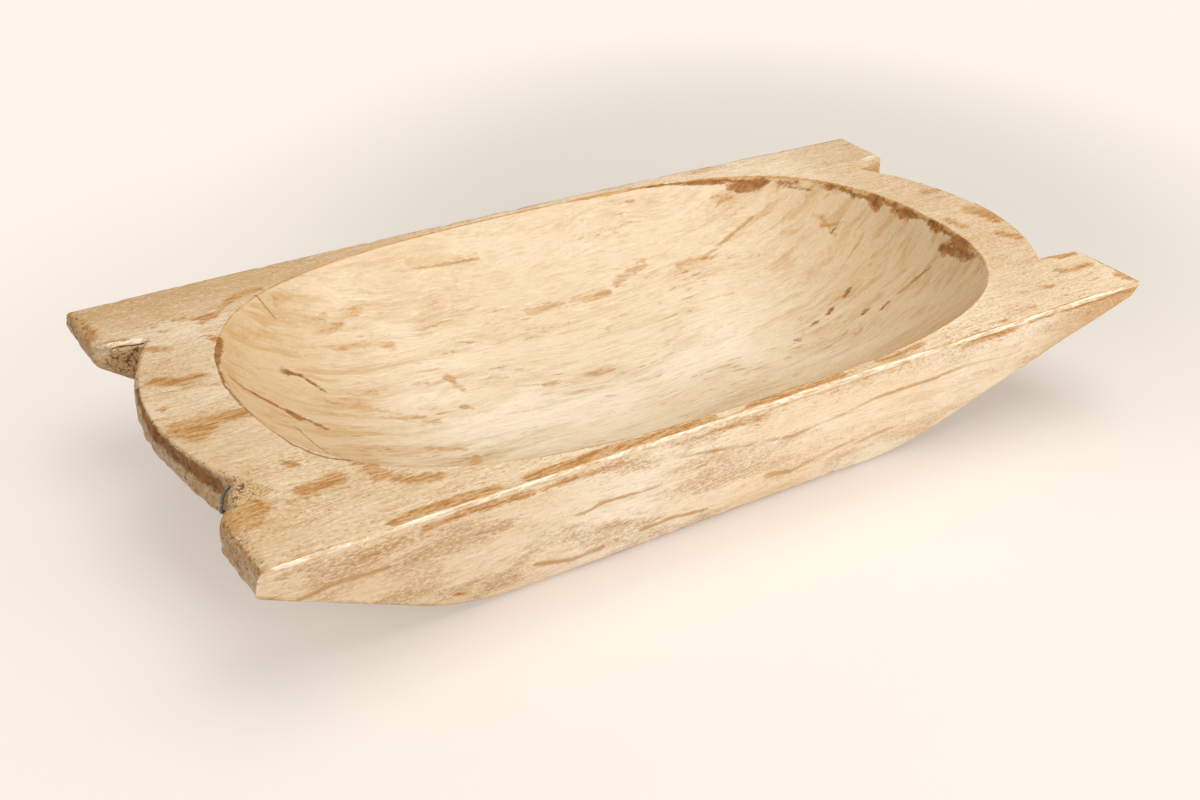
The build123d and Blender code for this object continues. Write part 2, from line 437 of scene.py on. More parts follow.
@dataclass(frozen=True)
class WashedWood:
    """Cream wash over brown wood, rubbed through at edges and torn at the lip, with painted shade in the
    hollow and on the level top and a painted highlight along the front edge.
    """

    hollow_cream: str = "FCECD0"
    hollow_warm: str = "F3DDBB"
    # Tan with painted shade, for the ends and the front of the hollow
    hollow_tan_and_shade: str = "CFAE80"
    hollow_stain: str = "C49C60"
    cream: str = "F3DCBA"
    warm: str = "E4C69C"
    side: str = "F8ECD6"
    tan: str = "C69A62"
    umber: str = "BA8645"
    brown: str = "946222"
    rubbed: str = "BC7F3A"
    ochre: str = "D9AC72"
    torn: str = "AB7239"
    dark: str = "845527"
    pale: str = "FFF3DA"
    roughness: float = 0.92
    specular: float = 0.12
    relief_mm: float = 0.5

    def material(self, effects: Effects) -> bpy.types.Material:
        """Builds the finish.

        Args:
            effects: Shared node groups.

        Returns:
            The material of the bowl.
        """
        material, graph, shader = new_material("washed_wood")
        place = graph.place()
        grain = effects.use(graph, "wood_grain", Place=place)
        inside = graph.step(graph.attribute("lip_mm"), 0.8, -0.8)
        end_grain = graph.attribute("end_grain")
        mottle = graph.noise(graph.scaled(place, (0.7, 1, 1)), 0.3, 4.0, 0.65)
        bare = graph.mix(graph.step(grain["Fibre"], 0.38, 0.62), linear(self.rubbed), linear(self.ochre))
        gritty = graph.less(0.7, graph.times(inside, 0.5))
        bare = graph.mix(graph.step(grain["Grit"], 0.48, 0.66, gritty), bare, linear(self.brown))
        rub = effects.ragged(graph, place, graph.attribute("rub"), 1.1, 0.24)
        thin = graph.plus(0.6, graph.step(grain["Fibre"], 0.62, 0.42, 0.4))
        broken = graph.step(grain["Streak"], 0.38, 0.56)
        vein = graph.times(self.hairline(graph, place, "vein", 1.7), broken)
        rough_end = graph.times(effects.speckle(graph, place, 1.7, 0.3)["Mask"], end_grain)
        tear = effects.ragged(graph, place, graph.times(graph.attribute("tear"), 0.85), 1.2, 0.3)
        dark = graph.mix(graph.step(mottle, 0.44, 0.62), linear(self.torn), linear(self.dark))
        line = self.hairline(graph, place, "line", 0.3)
        layers = (
            (graph.times(rub, thin, graph.rest(inside, 0.22)), bare),
            (self.edge_band(graph, effects, place), bare),
            (graph.times(vein, 0.72), linear(self.umber)),
            (graph.times(end_grain, graph.step(mottle, 0.36, 0.62, 0.7)), linear(self.ochre)),
            (graph.times(rough_end, 0.7), linear(self.dark)),
            (graph.times(tear, graph.step(mottle, 0.2, 0.4, 0.95)), dark),
            # Pale fibre, with a painted highlight along the front edge
            (self.pale_and_highlight_mask(graph, effects, place, grain), linear(self.pale)),
            (graph.times(line, 0.75), linear(self.dark)),
        )
        colour = self.wash(graph, place, grain, inside)
        for share, tint in layers:
            colour = graph.mix(share, colour, tint)
        graph.feed(shader.inputs["Base Color"], colour)
        graph.feed(shader.inputs["Roughness"], graph.step(grain["Cloud"], 0.9, 0.1, self.roughness))
        shader.inputs["Specular IOR Level"].default_value = self.specular
        height = graph.times(grain["Fibre"], 0.5)
        for relief, share in (("Streak", 0.4), ("Grit", 0.6)):
            height = graph.plus(height, graph.times(grain[relief], share))
        for mask, depth in ((rough_end, 0.9), (graph.most(tear, rub), 0.3), (line, 1.2)):
            height = graph.less(height, graph.times(mask, depth))
        graph.bump(shader, height, 0.6, self.relief_mm)
        return material

    def wash(self, graph: Graph, place: Any, grain: Any, inside: Any) -> Socket:
        """The cream wash with the wood showing through it, and painted shade at the ends and the front of the
        hollow and at the back left of the level top.

        Args:
            graph: Graph of the material.
            place: Place in millimetres.
            grain: Outputs of the grain group.
            inside: Mask of the hollow, where the wash is cleaner and the grit finer.

        Returns:
            Colour of the unworn surface.
        """
        spot = graph.add("SeparateXYZ", {0: place}).outputs
        x, y = spot["X"], spot["Y"]
        wall = graph.step(graph.attribute("edge_mm"), 2.0, 6.0)
        smoothed = graph.most(inside, wall)
        level = graph.less(graph.less(1.0, inside), wall)
        fresh = graph.mix(inside, linear(self.cream), linear(self.hollow_cream))
        fresh = graph.mix(wall, fresh, linear(self.side))
        aged = graph.mix(smoothed, linear(self.warm), linear(self.hollow_warm))
        colour = graph.mix(graph.step(grain["Cloud"], 0.36, 0.66), fresh, aged)

        # Places where the colour is darker: at the ends and the front of the hollow partly tan and partly
        # painted shade, at the back left of the level top painted shade where the light falls off, and on the
        # ends of the walls and the rims a tan tint
        # Towards the ends; in the hollow this lays painted shade with the tan
        far = graph.most(graph.step(x, -70.0, -185.0, 0.8), graph.step(x, 75.0, 190.0, 0.7))
        # Towards the front, and a little towards the back; in the hollow this lays painted shade with the tan
        across = graph.most(graph.step(y, -10.0, -105.0), graph.step(y, 30.0, 105.0, 0.3))
        ends = graph.most(graph.step(x, -60.0, -190.0, 0.6), graph.step(x, 175.0, 235.0, 0.9))
        far_right = graph.step(x, 165.0, 225.0, 0.62)
        # Painted shade where the light falls off towards the back left of the level top
        back = graph.times(graph.step(y, 70.0, 112.0, 0.75), graph.step(x, 40.0, -170.0))
        right = graph.times(graph.step(x, 185.0, 212.0, 0.34), graph.step(y, -85.0, -55.0))
        # Tan on the right and left rims, with the painted shade at the back left
        dull = graph.most(back, right, graph.step(x, -200.0, -235.0, 0.22))
        clouded = graph.most(far, graph.step(x, 10.0, -110.0, 0.75))
        left_half = graph.plus(0.3, graph.step(x, 90.0, -60.0, 0.7))

        # Marks along the grain
        smudge = graph.step(grain["Smudge"], 0.5, 0.74)
        mottle = graph.times(graph.step(grain["Smudge"], 0.4, 0.66), inside, graph.plus(0.12, clouded))
        patch = graph.times(graph.step(grain["Smudge"], 0.46, 0.6), wall, left_half)
        fleck = graph.times(graph.step(grain["Fleck"], 0.57, 0.67), graph.step(grain["Smudge"], 0.44, 0.6))
        steep = graph.rest(graph.times(far, inside))
        low = graph.step(graph.attribute("edge_mm"), 6.0, 26.0)
        uneven = graph.plus(0.4, graph.step(grain["Smudge"], 0.35, 0.62, 0.6))
        rough = graph.times(graph.rest(inside, 0.8), graph.rest(low, 0.55), uneven)
        layers = (
            # Tan with painted shade at the ends and the front of the hollow
            (graph.times(graph.most(far, across), inside), 1.0, self.hollow_tan_and_shade),
            (graph.times(ends, wall), 1.0, self.warm),
            (graph.times(far_right, wall), 1.0, self.tan),
            # Tan tint of the rims and painted shade at the back left of the level top
            (graph.times(dull, level), 1.0, self.tan),
            (mottle, 0.42, self.hollow_stain),
            (patch, 0.14, self.tan),
            (graph.times(patch, graph.step(grain["Grit"], 0.42, 0.56)), 0.42, self.brown),
            (graph.times(graph.step(grain["Streak"], 0.5, 0.64), far, inside), 0.7, self.tan),
            (smudge, 0.3, self.tan),
            (graph.times(fleck, graph.rest(wall, 0.35)), 0.75, self.umber),
            (graph.step(grain["Streak"], 0.54, 0.72), 0.25, self.tan),
            (graph.times(graph.step(grain["Dash"], 0.54, 0.68), smudge), 0.75, self.umber),
            (graph.times(graph.step(grain["Fibre"], 0.48, 0.7), graph.rest(smoothed, 0.4)), 0.6, self.tan),
            (graph.times(graph.step(grain["Fibre"], 0.47, 0.3), steep), 0.5, self.pale),
            (graph.times(graph.step(grain["Grit"], 0.5, 0.66), rough), 0.55, self.tan),
            (graph.times(graph.step(grain["Grit"], 0.57, 0.68), rough), 0.8, self.umber),
            (graph.times(graph.step(grain["Grit"], 0.46, 0.32), rough), 0.55, self.pale),
        )
        for mask, share, tint in layers:
            colour = graph.mix(graph.times(mask, share), colour, linear(tint))
        return colour

    def edge_gap(self, graph: Graph) -> Socket:
        """Distance from the middle of the worn top edge."""
        return graph.math("ABSOLUTE", graph.less(graph.attribute("edge_mm"), 0.5))

    def edge_band(self, graph: Graph, effects: Effects, place: Any) -> Socket:
        """Brown bands on both sides of the worn top edge, and along the lower edge and the lip.

        Args:
            graph: Graph of the material.
            effects: Shared node groups.
            place: Place in millimetres.

        Returns:
            Mask of the bands.
        """
        above = graph.math("LESS_THAN", graph.attribute("edge_mm"), 0.0)
        reach = graph.times(graph.attribute("edge_rub"), graph.plus(8.0, graph.times(above, 5.0)))
        bands = [graph.step(self.edge_gap(graph), reach, 0.0)]
        lip_reach = graph.times(graph.attribute("lip_rub"), 4.5)
        for name, far, share in (("foot_mm", 2.2, 0.5), ("lip_mm", lip_reach, 0.9)):
            gap = graph.math("ABSOLUTE", graph.attribute(name))
            bands.append(graph.step(gap, far, 0.0, share))
        return graph.times(graph.most(*(effects.ragged(graph, place, band) for band in bands)), 0.85)

    def pale_and_highlight_mask(self, graph: Graph, effects: Effects, place: Any, grain: Any) -> Socket:
        """Bright bare fibre along the middle of the worn edge, with a painted highlight along the front edge,
        and in torn places.

        Args:
            graph: Graph of the material.
            effects: Shared node groups.
            place: Place in millimetres.
            grain: Outputs of the grain group.

        Returns:
            Mask of the bright fibre and of the painted highlight.
        """
        # Pale bare fibre with a painted highlight along the worn edge
        reach = graph.plus(2.5, graph.step(grain["Cloud"], 0.3, 0.7, 2.0))
        near = graph.step(self.edge_gap(graph), reach, 0.6)
        edge = effects.ragged(graph, place, graph.times(near, graph.attribute("edge_bright")))
        torn = effects.ragged(graph, place, graph.attribute("pale"), softness=0.12)
        cover = graph.plus(0.22, graph.step(grain["Fibre"], 0.6, 0.42, 0.75))
        return graph.times(graph.most(edge, torn), cover)

    def hairline(self, graph: Graph, place: Any, name: str, soft: float) -> Socket:
        """Thin cracks or veins that follow the drawn lines.

        Args:
            graph: Graph of the material.
            place: Place in millimetres.
            name: Start of the names of the line's numbers on the mesh.
            soft: How far the line fades out on each side, by share of its width.

        Returns:
            Mask of the lines.
        """
        jitter = graph.times(graph.less(graph.noise(place, 0.35, 4.0), 0.5), 1.6)
        distance = graph.math("ABSOLUTE", graph.plus(graph.attribute(name + "_mm"), jitter))
        width = graph.times(graph.attribute(name + "_gate"), graph.noise(place, 0.12, 2.0))
        return graph.step(distance, graph.times(width, 1.4 + soft), graph.times(width, 0.3))


@dataclass(frozen=True)
class GrittyFill:
    """Set sawdust and glue: pale grains with dark pits."""

    pale: str = "E6C899"
    brown: str = "B8844A"
    pit: str = "5A3B20"
    roughness: float = 0.85
    relief_mm: float = 0.5

    def material(self, effects: Effects) -> bpy.types.Material:
        """Builds the finish.

        Args:
            effects: Shared node groups.

        Returns:
            The material of the fills.
        """
        material, graph, shader = new_material("gritty_fill")
        place = graph.place()
        grain = effects.use(graph, "wood_grain", Place=place, Scale=2.5)
        fine = effects.speckle(graph, place, 0.8, 0.45)
        coarse = effects.speckle(graph, place, 1.5, 0.4)
        gaps = effects.speckle(graph, place, 3.4, 0.3)
        colour = graph.mix(graph.step(grain["Grit"], 0.4, 0.66), linear(self.pale), linear(self.brown))
        for pores, share, tint in ((fine, 0.5, self.brown), (coarse, 0.75, self.pit), (gaps, 0.85, self.pit)):
            colour = graph.mix(graph.times(pores["Mask"], share), colour, linear(tint))
        graph.feed(shader.inputs["Base Color"], colour)
        shader.inputs["Roughness"].default_value = self.roughness
        height = graph.plus(coarse["Grain"], graph.times(fine["Grain"], 0.4))
        graph.bump(shader, height, 0.8, self.relief_mm)
        return material


@dataclass(frozen=True)
class DullWire:
    """Old grey wire with cream wash caught on it."""

    bright: str = "8E8E8C"
    dull: str = "605F5D"
    wash: str = "D9C49A"
    metallic: float = 0.85
    roughness: float = 0.38
    relief_mm: float = 0.1

    def material(self, effects: Effects) -> bpy.types.Material:
        """Builds the finish.

        Args:
            effects: Shared node groups.

        Returns:
            The material of the staple.
        """
        material, graph, shader = new_material("dull_wire")
        place = graph.place()
        tone = effects.speckle(graph, place, 0.8, 0.5)["Grain"]
        caught = effects.speckle(graph, place, 2.2, 0.2)["Mask"]
        colour = graph.mix(tone, linear(self.dull), linear(self.bright))
        graph.feed(shader.inputs["Base Color"], graph.mix(caught, colour, linear(self.wash)))
        bare = graph.less(self.metallic, graph.times(caught, self.metallic))
        graph.feed(shader.inputs["Metallic"], bare)
        graph.feed(shader.inputs["Roughness"], graph.plus(self.roughness, graph.times(tone, 0.3)))
        graph.bump(shader, tone, 0.3, self.relief_mm)
        return material


@dataclass(frozen=True)
class Stroke:
    """One worn place, drawn on a surface of the bowl in millimetres."""

    face: Face
    mark: Mark
    width: float
    strength: float
    path: tuple[Pair, ...]


@dataclass
class Columns:
    """The outline seen from above, one column of the skin for each of its places."""

    outline: np.ndarray
    outward: np.ndarray
    lip: np.ndarray
    spine: np.ndarray
    lean: np.ndarray
    side: np.ndarray
    along_cheek: np.ndarray

    def on(self, *sides: Side) -> np.ndarray:
        """Which columns belong to some parts of the outline."""
        return np.isin(self.side, [side.value for side in sides])


@dataclass
class Skin:
    """Rings of the bowl's surface through its columns, with their distances in millimetres."""

    columns: Columns
    rows: list[np.ndarray] = field(default_factory=list)
    zones: list[int] = field(default_factory=list)
    edge_mm: list[np.ndarray] = field(default_factory=list)
    foot_mm: list[np.ndarray] = field(default_factory=list)
    lip_mm: list[np.ndarray] = field(default_factory=list)

    def lay(
        self, places: np.ndarray, zone: Zone, edge: Any = FAR_MM, foot: Any = FAR_MM, lip: Any = FAR_MM
    ) -> None:
        """Adds one ring.

        Args:
            places: Place of the ring at each column.
            zone: Part of the skin that it belongs to.
            edge: Distance from the top edge, below zero on the inner side.
            foot: Distance from the lower edge.
            lip: Distance from the lip, below zero in the hollow.
        """
        self.rows.append(places)
        self.zones.append(zone.value)
        for distances, value in ((self.edge_mm, edge), (self.foot_mm, foot), (self.lip_mm, lip)):
            distances.append(np.broadcast_to(value, len(places)))

    def within(self, first: Zone, last: Zone) -> np.ndarray:
        """Which rings lie in the zones from one to another, as a column of an array."""
        zones = np.array(self.zones)[:, None]
        return (zones >= first.value) & (zones <= last.value)


@dataclass
class CarvedBowl:
    """The bowl's skin: hollow, lip, top, horns, walls and boat-shaped underside. Sizes are in millimetres."""

    finish: WashedWood
    strokes: tuple[Stroke, ...]
    length: float = 502.0
    width: float = 246.0
    height: float = 80.0
    side_lean: float = 19.3
    base_turn_radius: float = 110.0
    left_slope: float = 31.2
    left_tip_thickness: float = 13.8
    left_skew: float = 2.9
    right_slope: float = 27.0
    right_tip_thickness: float = 11.5
    back_bow: float = 4.0
    rim_set_back: float = 1.0
    notch_depth: float = 24.0
    notch_span: float = 146.0
    cheek_flare: float = 5.0
    horn_corner_radius: float = 0.8
    horn_tip_radius: float = 7.0
    rail_width: float = 6.5
    end_rim_width: float = 42.0
    floor_thickness: float = 20.0
    hollow_fullness: float = 0.66
    hollow_end_lean: float = 27.0
    edge_wear: float = 2.6
    left_horn_wear: float = 3.8
    sharp_tip_from: Pair = (230.0, 249.0)
    sharp_tip_share: float = 0.7
    smooth_tip_from: Pair = (222.0, 244.0)
    lip_inside: float = 1.3
    lip_outside: float = 1.6
    foot_on_side: float = 4.3
    foot_on_end: float = 2.2
    pocket_depth: float = 8.2
    pocket_inset: float = 1.5
    pocket_length: float = 14.0
    pocket_skin: float = 2.9
    wall_step: float = 0.1
    spine_half: float = 105.0
    keel_narrowing: float = 0.28
    keel_reach: Pair = (110.0, 185.0)
    rim_lip: float = 0.235
    notch_lip: float = 0.24
    cheek_lip: Pair = (0.292, 0.312)
    tip_lip: Pair = (0.313, 0.323)
    end_lip: Pair = (0.323, 0.375)
    corner_lip: Pair = (0.375, 0.41)
    side_lip: Pair = (0.41, 1.0)
    line_reach: float = 4.0
    line_apart: float = 12.0
    line_far: float = 40.0
    stroke_reach: float = 1.15
    plain_lip_rub: float = 0.25
    tear_depth: float = 0.9
    nick_depth: float = 2.4
    nick_reach: float = 4.0
    hollow_crowding: float = 1.7
    lean_rounds: int = 4
    rim_columns: int = 44
    pocket_columns: int = 10
    tip_columns: int = 7
    end_columns: int = 18
    corner_columns: int = 9
    side_columns: int = 128
    hollow_rings: int = 44
    top_rings: int = 15
    wall_rings: int = 17
    under_rings: int = 7
    keel_rings: int = 6

    def __post_init__(self) -> None:
        """Works out the places that follow from the sizes."""
        self.half_length = self.length / 2
        self.half_width = self.width / 2
        self.notch_x = self.half_length - self.rim_set_back - self.notch_depth
        self.notch_y = self.notch_span / 2
        self.cheek_run = self.half_length - self.notch_x
        self.tip_y = self.notch_y + self.cheek_flare
        self.cheek_length = math.hypot(self.cheek_run, self.cheek_flare)
        self.rim_radius = (self.notch_y**2 + self.notch_depth**2) / (2 * self.notch_depth)
        self.rim_centre = self.half_length - self.rim_set_back - self.rim_radius
        self.notch_angle = math.atan2(self.notch_y, self.notch_x - self.rim_centre)
        self.lip_half_width = self.half_width - self.rail_width
        self.lip_half_length = self.half_length - self.end_rim_width
        self.hollow_depth = self.height - self.floor_thickness
        self.axis_rise = (self.lip_half_width**2 - self.hollow_depth**2) / (2 * self.hollow_depth)
        self.pocket_end = self.pocket_inset + self.pocket_length
        self.hollow_profile = self.draw_hollow_profile()

    def draw_hollow_profile(self) -> np.ndarray:
        """Draws the lengthwise profile of the hollow.

        Returns:
            Rows of x and depth, from the end of the hollow to its middle.
        """
        t = np.linspace(0, 1, 600)[:, None] ** 2
        drop = self.hollow_fullness * self.hollow_depth
        lean = math.tan(math.radians(self.hollow_end_lean))
        corners = np.array(
            [
                (self.lip_half_length, 0),
                (self.lip_half_length - lean * drop, drop),
                (self.hollow_fullness * self.lip_half_length, self.hollow_depth),
                (0, self.hollow_depth),
            ]
        )
        weights = ((1 - t) ** 3, 3 * t * (1 - t) ** 2, 3 * t * t * (1 - t), t**3)
        return sum(weight * corner for weight, corner in zip(weights, corners))

    def in_hollow(self, plan: np.ndarray) -> np.ndarray:
        """Puts places of a plan on the hollow's surface.

        Args:
            plan: Places seen from above.

        Returns:
            The same places with their heights.
        """
        x, y = plan.T
        profile = self.hollow_profile[::-1]
        reach = self.axis_rise + np.interp(np.abs(x), profile[:, 0], profile[:, 1])
        return raised(plan, self.height + self.axis_rise - np.sqrt(np.maximum(reach**2 - y**2, 0)))

    def under_height(self, plan: np.ndarray) -> np.ndarray:
        """Height of the boat-shaped underside, which each end lifts by its own slope.

        Args:
            plan: Places seen from above.

        Returns:
            Heights above the floor.
        """
        x, y = plan.T
        left_turn = math.radians(180 - self.left_skew)
        ends = (
            (0.0, self.right_slope, self.right_tip_thickness),
            (left_turn, self.left_slope, self.left_tip_thickness),
        )
        total = np.zeros(np.shape(x))
        for turn, degrees, tip_thickness in ends:
            slope = math.radians(degrees)
            out = x * math.cos(turn) + y * math.sin(turn)
            foot = self.half_length - (self.height - tip_thickness) / math.tan(slope)
            past = np.maximum(out - foot + self.base_turn_radius * math.tan(slope / 2), 0)
            arc = self.base_turn_radius - np.sqrt(np.maximum(self.base_turn_radius**2 - past**2, 0))
            straight = (out - foot) * math.tan(slope)
            turned = past < self.base_turn_radius * math.sin(slope)
            total = np.maximum(total, np.where(turned, arc, straight))
        return total

    def back_edge(self, x: np.ndarray) -> np.ndarray:
        """Y of the bowed back edge."""
        bow = (self.half_length**2 + self.back_bow**2) / (2 * self.back_bow)
        return self.half_width - bow + np.sqrt(bow**2 - x**2)

    def lip_quarter(self, share: np.ndarray) -> np.ndarray:
        """Finds places on a quarter of the lip.

        Args:
            share: Shares of its length, from the middle of an end.

        Returns:
            The places seen from above.
        """
        x, depth = self.hollow_profile.T
        y = np.sqrt((self.axis_rise + depth) ** 2 - self.axis_rise**2)
        run = np.concatenate(([0], np.cumsum(np.hypot(np.diff(x), np.diff(y)))))
        return np.stack([np.interp(share * run[-1], run, values) for values in (x, y)], 1)

    def cheek_places(self, length: float) -> np.ndarray:
        """Spaces the columns of a cheek, closest at the borders of the pocket.

        Args:
            length: Length of the cheek before its tip.

        Returns:
            Distances from the notch.
        """
        start, end, step = self.pocket_inset, self.pocket_end, self.wall_step
        return np.concatenate(
            [
                [0, start / 2, start - step, start + step],
                np.linspace(start, end, self.pocket_columns)[1:-1],
                [end - step, end + step],
                np.linspace(end, length, 4)[1:-1],
            ]
        )

    def quarter(self, bowed: bool) -> Columns:
        """Columns of a quarter of the outline, from the middle of an end to the middle of a long side.

        Args:
            bowed: Whether the long side is the bowed back.

        Returns:
            The quarter's columns, for positive x and y.
        """
        corner, tip = self.horn_corner_radius, self.horn_tip_radius
        cheek_way = np.array([self.cheek_run, self.cheek_flare]) / self.cheek_length
        cheek_out = np.array([cheek_way[1], -cheek_way[0]])
        turn = math.pi / 2 - math.atan2(cheek_way[1], cheek_way[0])
        tip_run = tip * math.tan(turn / 2)
        side_y = float(self.back_edge(np.array(self.half_length))) if bowed else self.half_width
        rim = np.linspace(0, self.notch_angle, self.rim_columns, endpoint=False)
        cheek = self.cheek_places(self.cheek_length - tip_run)
        tips = np.linspace(0, 1, self.tip_columns, endpoint=False)
        ends = np.linspace(self.tip_y + tip_run, side_y - corner, self.end_columns, endpoint=False)
        corners = np.linspace(0, math.pi / 2, self.corner_columns, endpoint=False)
        sides = np.linspace(self.half_length - corner, 0, self.side_columns + 1)
        rim_ring, corner_ring = circle(rim), circle(corners)
        tip_ring = circle(math.atan2(cheek_out[1], cheek_out[0]) * (1 - tips))
        edge = self.back_edge(sides) if bowed else np.full_like(sides, side_y)
        cheek_share = self.cheek_lip[0] + cheek / self.cheek_length * (self.cheek_lip[1] - self.cheek_lip[0])
        runs = (
            (
                Side.RIM,
                rim_ring * self.rim_radius + (self.rim_centre, 0),
                rim_ring,
                rim / self.notch_angle * self.rim_lip,
            ),
            (
                Side.CHEEK,
                np.array([self.notch_x, self.notch_y]) + cheek[:, None] * cheek_way,
                np.tile(cheek_out, (len(cheek), 1)),
                np.where(cheek > 0, cheek_share, self.notch_lip),
            ),
            (
                Side.HORN_TIP,
                tip_ring * tip + (self.half_length - tip, self.tip_y + tip_run),
                tip_ring,
                self.tip_lip[0] + tips * (self.tip_lip[1] - self.tip_lip[0]),
            ),
            (
                Side.HORN_END,
                np.stack([np.full_like(ends, self.half_length), ends], 1),
                np.tile((1.0, 0.0), (len(ends), 1)),
                np.linspace(*self.end_lip, len(ends), endpoint=False),
            ),
            (
                Side.LONG_SIDE,
                corner_ring * corner + (self.half_length - corner, side_y - corner),
                corner_ring,
                np.linspace(*self.corner_lip, len(corners), endpoint=False),
            ),
            (
                Side.LONG_SIDE,
                np.stack([sides, edge], 1),
                np.tile((0.0, 1.0), (len(sides), 1)),
                np.linspace(*self.side_lip, len(sides)),
            ),
        )
        outline, outward, lip_share = (np.concatenate([run[part] for run in runs]) for part in (1, 2, 3))
        side = np.concatenate([np.full(len(run[1]), run[0].value) for run in runs])
        notch = len(rim)
        outward[notch] = outward[notch] + outward[notch - 1]
        outward[notch] /= np.linalg.norm(outward[notch])
        spine_share = np.concatenate([np.ones(len(outline) - len(sides)), sides / sides[0]])
        spine = np.stack([spine_share * self.spine_half, spine_share * 0], 1)
        lean = np.where(side == Side.LONG_SIDE.value, 1.0, 0.0)
        lean[side == Side.HORN_END.value] = np.linspace(0, 1, len(ends), endpoint=False)
        along = np.full(len(outline), -1.0)
        along[side == Side.CHEEK.value] = cheek
        return Columns(outline, outward, self.lip_quarter(lip_share), spine, lean, side, along)

    def columns(self) -> Columns:
        """Joins the quarters.

        Returns:
            All columns, from the middle of the right end round by the back, with the first one again at
            the end.
        """
        back, front = self.quarter(True), self.quarter(False)
        turns = ((back, 1, 1, 1), (back, -1, 1, -1), (front, -1, -1, 1), (front, 1, -1, -1))
        parts: dict[str, list[np.ndarray]] = {}
        for quarter, sign_x, sign_y, order in turns:
            pick = slice(0, -1) if order > 0 else slice(None, 0, -1)
            for name, values in vars(quarter).items():
                signs = np.array([sign_x, sign_y]) if values.ndim > 1 else 1
                parts.setdefault(name, []).append((values * signs)[pick])
        closed = {name: np.concatenate(rows + [rows[0][:1]]) for name, rows in parts.items()}
        return Columns(**closed)

    def plain_wear(self, columns: Columns) -> np.ndarray:
        """Wear of the top edge at each column, which is least at the sharp front right tip."""
        x, y = columns.outline.T
        return self.edge_wear * (1 - self.sharp_tip_share * smooth(x, *self.sharp_tip_from) * (y < 0))

    def horn_wear(self, columns: Columns) -> np.ndarray:
        """Extra wear at the ends of the left horns."""
        return np.where(columns.outline[:, 0] < 0, self.left_horn_wear, 0.0)

    def top_wear(self, columns: Columns) -> np.ndarray:
        """How far the top edge is worn back, which is most at the ends of the left horns.

        Args:
            columns: Columns of the outline.

        Returns:
            Depth of the wear at each column.
        """
        facing = smooth(np.abs(columns.outward[:, 0]), 0.2, 1.0)
        share = np.where(columns.on(Side.RIM, Side.CHEEK), 0, facing)
        return self.plain_wear(columns) + share * self.horn_wear(columns)

    def worn_border(self, columns: Columns, wear: np.ndarray) -> np.ndarray:
        """Border of the level top inside its worn edge.

        Args:
            columns: Columns of the outline.
            wear: Depth of the wear at each column.

        Returns:
            Place of the border at each column, seen from above.
        """
        border = columns.outline - columns.outward * wear[:, None]
        horn = ~columns.on(Side.RIM, Side.CHEEK)
        x, y = columns.outline.T
        side_y = np.where(y > 0, self.back_edge(np.abs(x)), self.half_width)
        plain = self.plain_wear(columns)
        limits = self.half_length - plain - self.horn_wear(columns), side_y - plain
        corner = columns.on(Side.LONG_SIDE) & (np.abs(columns.outward[:, 0]) > 1e-6)
        for axis, limit in enumerate(limits):
            inner = np.where(corner, limit, np.minimum(np.abs(border[:, axis]), limit))
            border[:, axis] = np.where(horn, np.sign(border[:, axis]) * inner, border[:, axis])
        return border

    def lay_inside(self, skin: Skin) -> None:
        """Lays the rings of the hollow, the lip and the level top.

        Args:
            skin: The empty skin.
        """
        columns = skin.columns
        lip_way = np.roll(columns.lip[:-1], -1, 0) - np.roll(columns.lip[:-1], 1, 0)
        lip_out = np.stack([lip_way[:, 1], -lip_way[:, 0]], 1)
        lip_out /= lengths(lip_out)[:, None]
        lip_out = np.concatenate([lip_out, lip_out[:1]])
        inner = columns.lip - lip_out * self.lip_inside
        outer = columns.lip + lip_out * self.lip_outside
        for t in np.linspace(0, 1, self.hollow_rings):
            plan = columns.spine + (inner - columns.spine) * (1 - (1 - t) ** self.hollow_crowding)
            gap = lengths(plan - columns.lip) * 1.5
            skin.lay(self.in_hollow(plan), Zone.HOLLOW, edge=-FAR_MM, lip=-gap)
        brink = raised(columns.lip, self.height)
        inside, outside = skin.rows[-1], raised(outer, self.height)
        for t in ROUND_STEPS:
            skin.lay(curve(inside, brink, outside, t), Zone.LIP, edge=-FAR_MM, lip=-2 + 4 * t)
        border = self.worn_border(columns, self.top_wear(columns))
        for t in np.linspace(0, 1, self.top_rings):
            plan = outer + (border - outer) * (0.5 - 0.5 * math.cos(math.pi * t))
            edge, lip = -lengths(plan - columns.outline), lengths(plan - columns.lip)
            skin.lay(raised(plan, self.height), Zone.TOP, edge=edge, lip=lip)

    def lay_outside(self, skin: Skin) -> None:
        """Lays the rings of the worn edge, the wall, the lower edge and the underside.

        Args:
            skin: The skin so far, up to the border of the level top.
        """
        columns = skin.columns
        zero = np.zeros(len(columns.side))
        wear = self.top_wear(columns)
        lean = np.stack([zero, -np.sign(columns.outline[:, 1]) * columns.lean], 1)
        lean *= math.tan(math.radians(self.side_lean))
        deep = zero
        for _ in range(self.lean_rounds):
            deep = self.height - self.under_height(columns.outline + lean * deep[:, None])

        def wall(depth: np.ndarray) -> np.ndarray:
            """Places of the wall at a depth below the top."""
            return raised(columns.outline + lean * depth[:, None], self.height - depth)

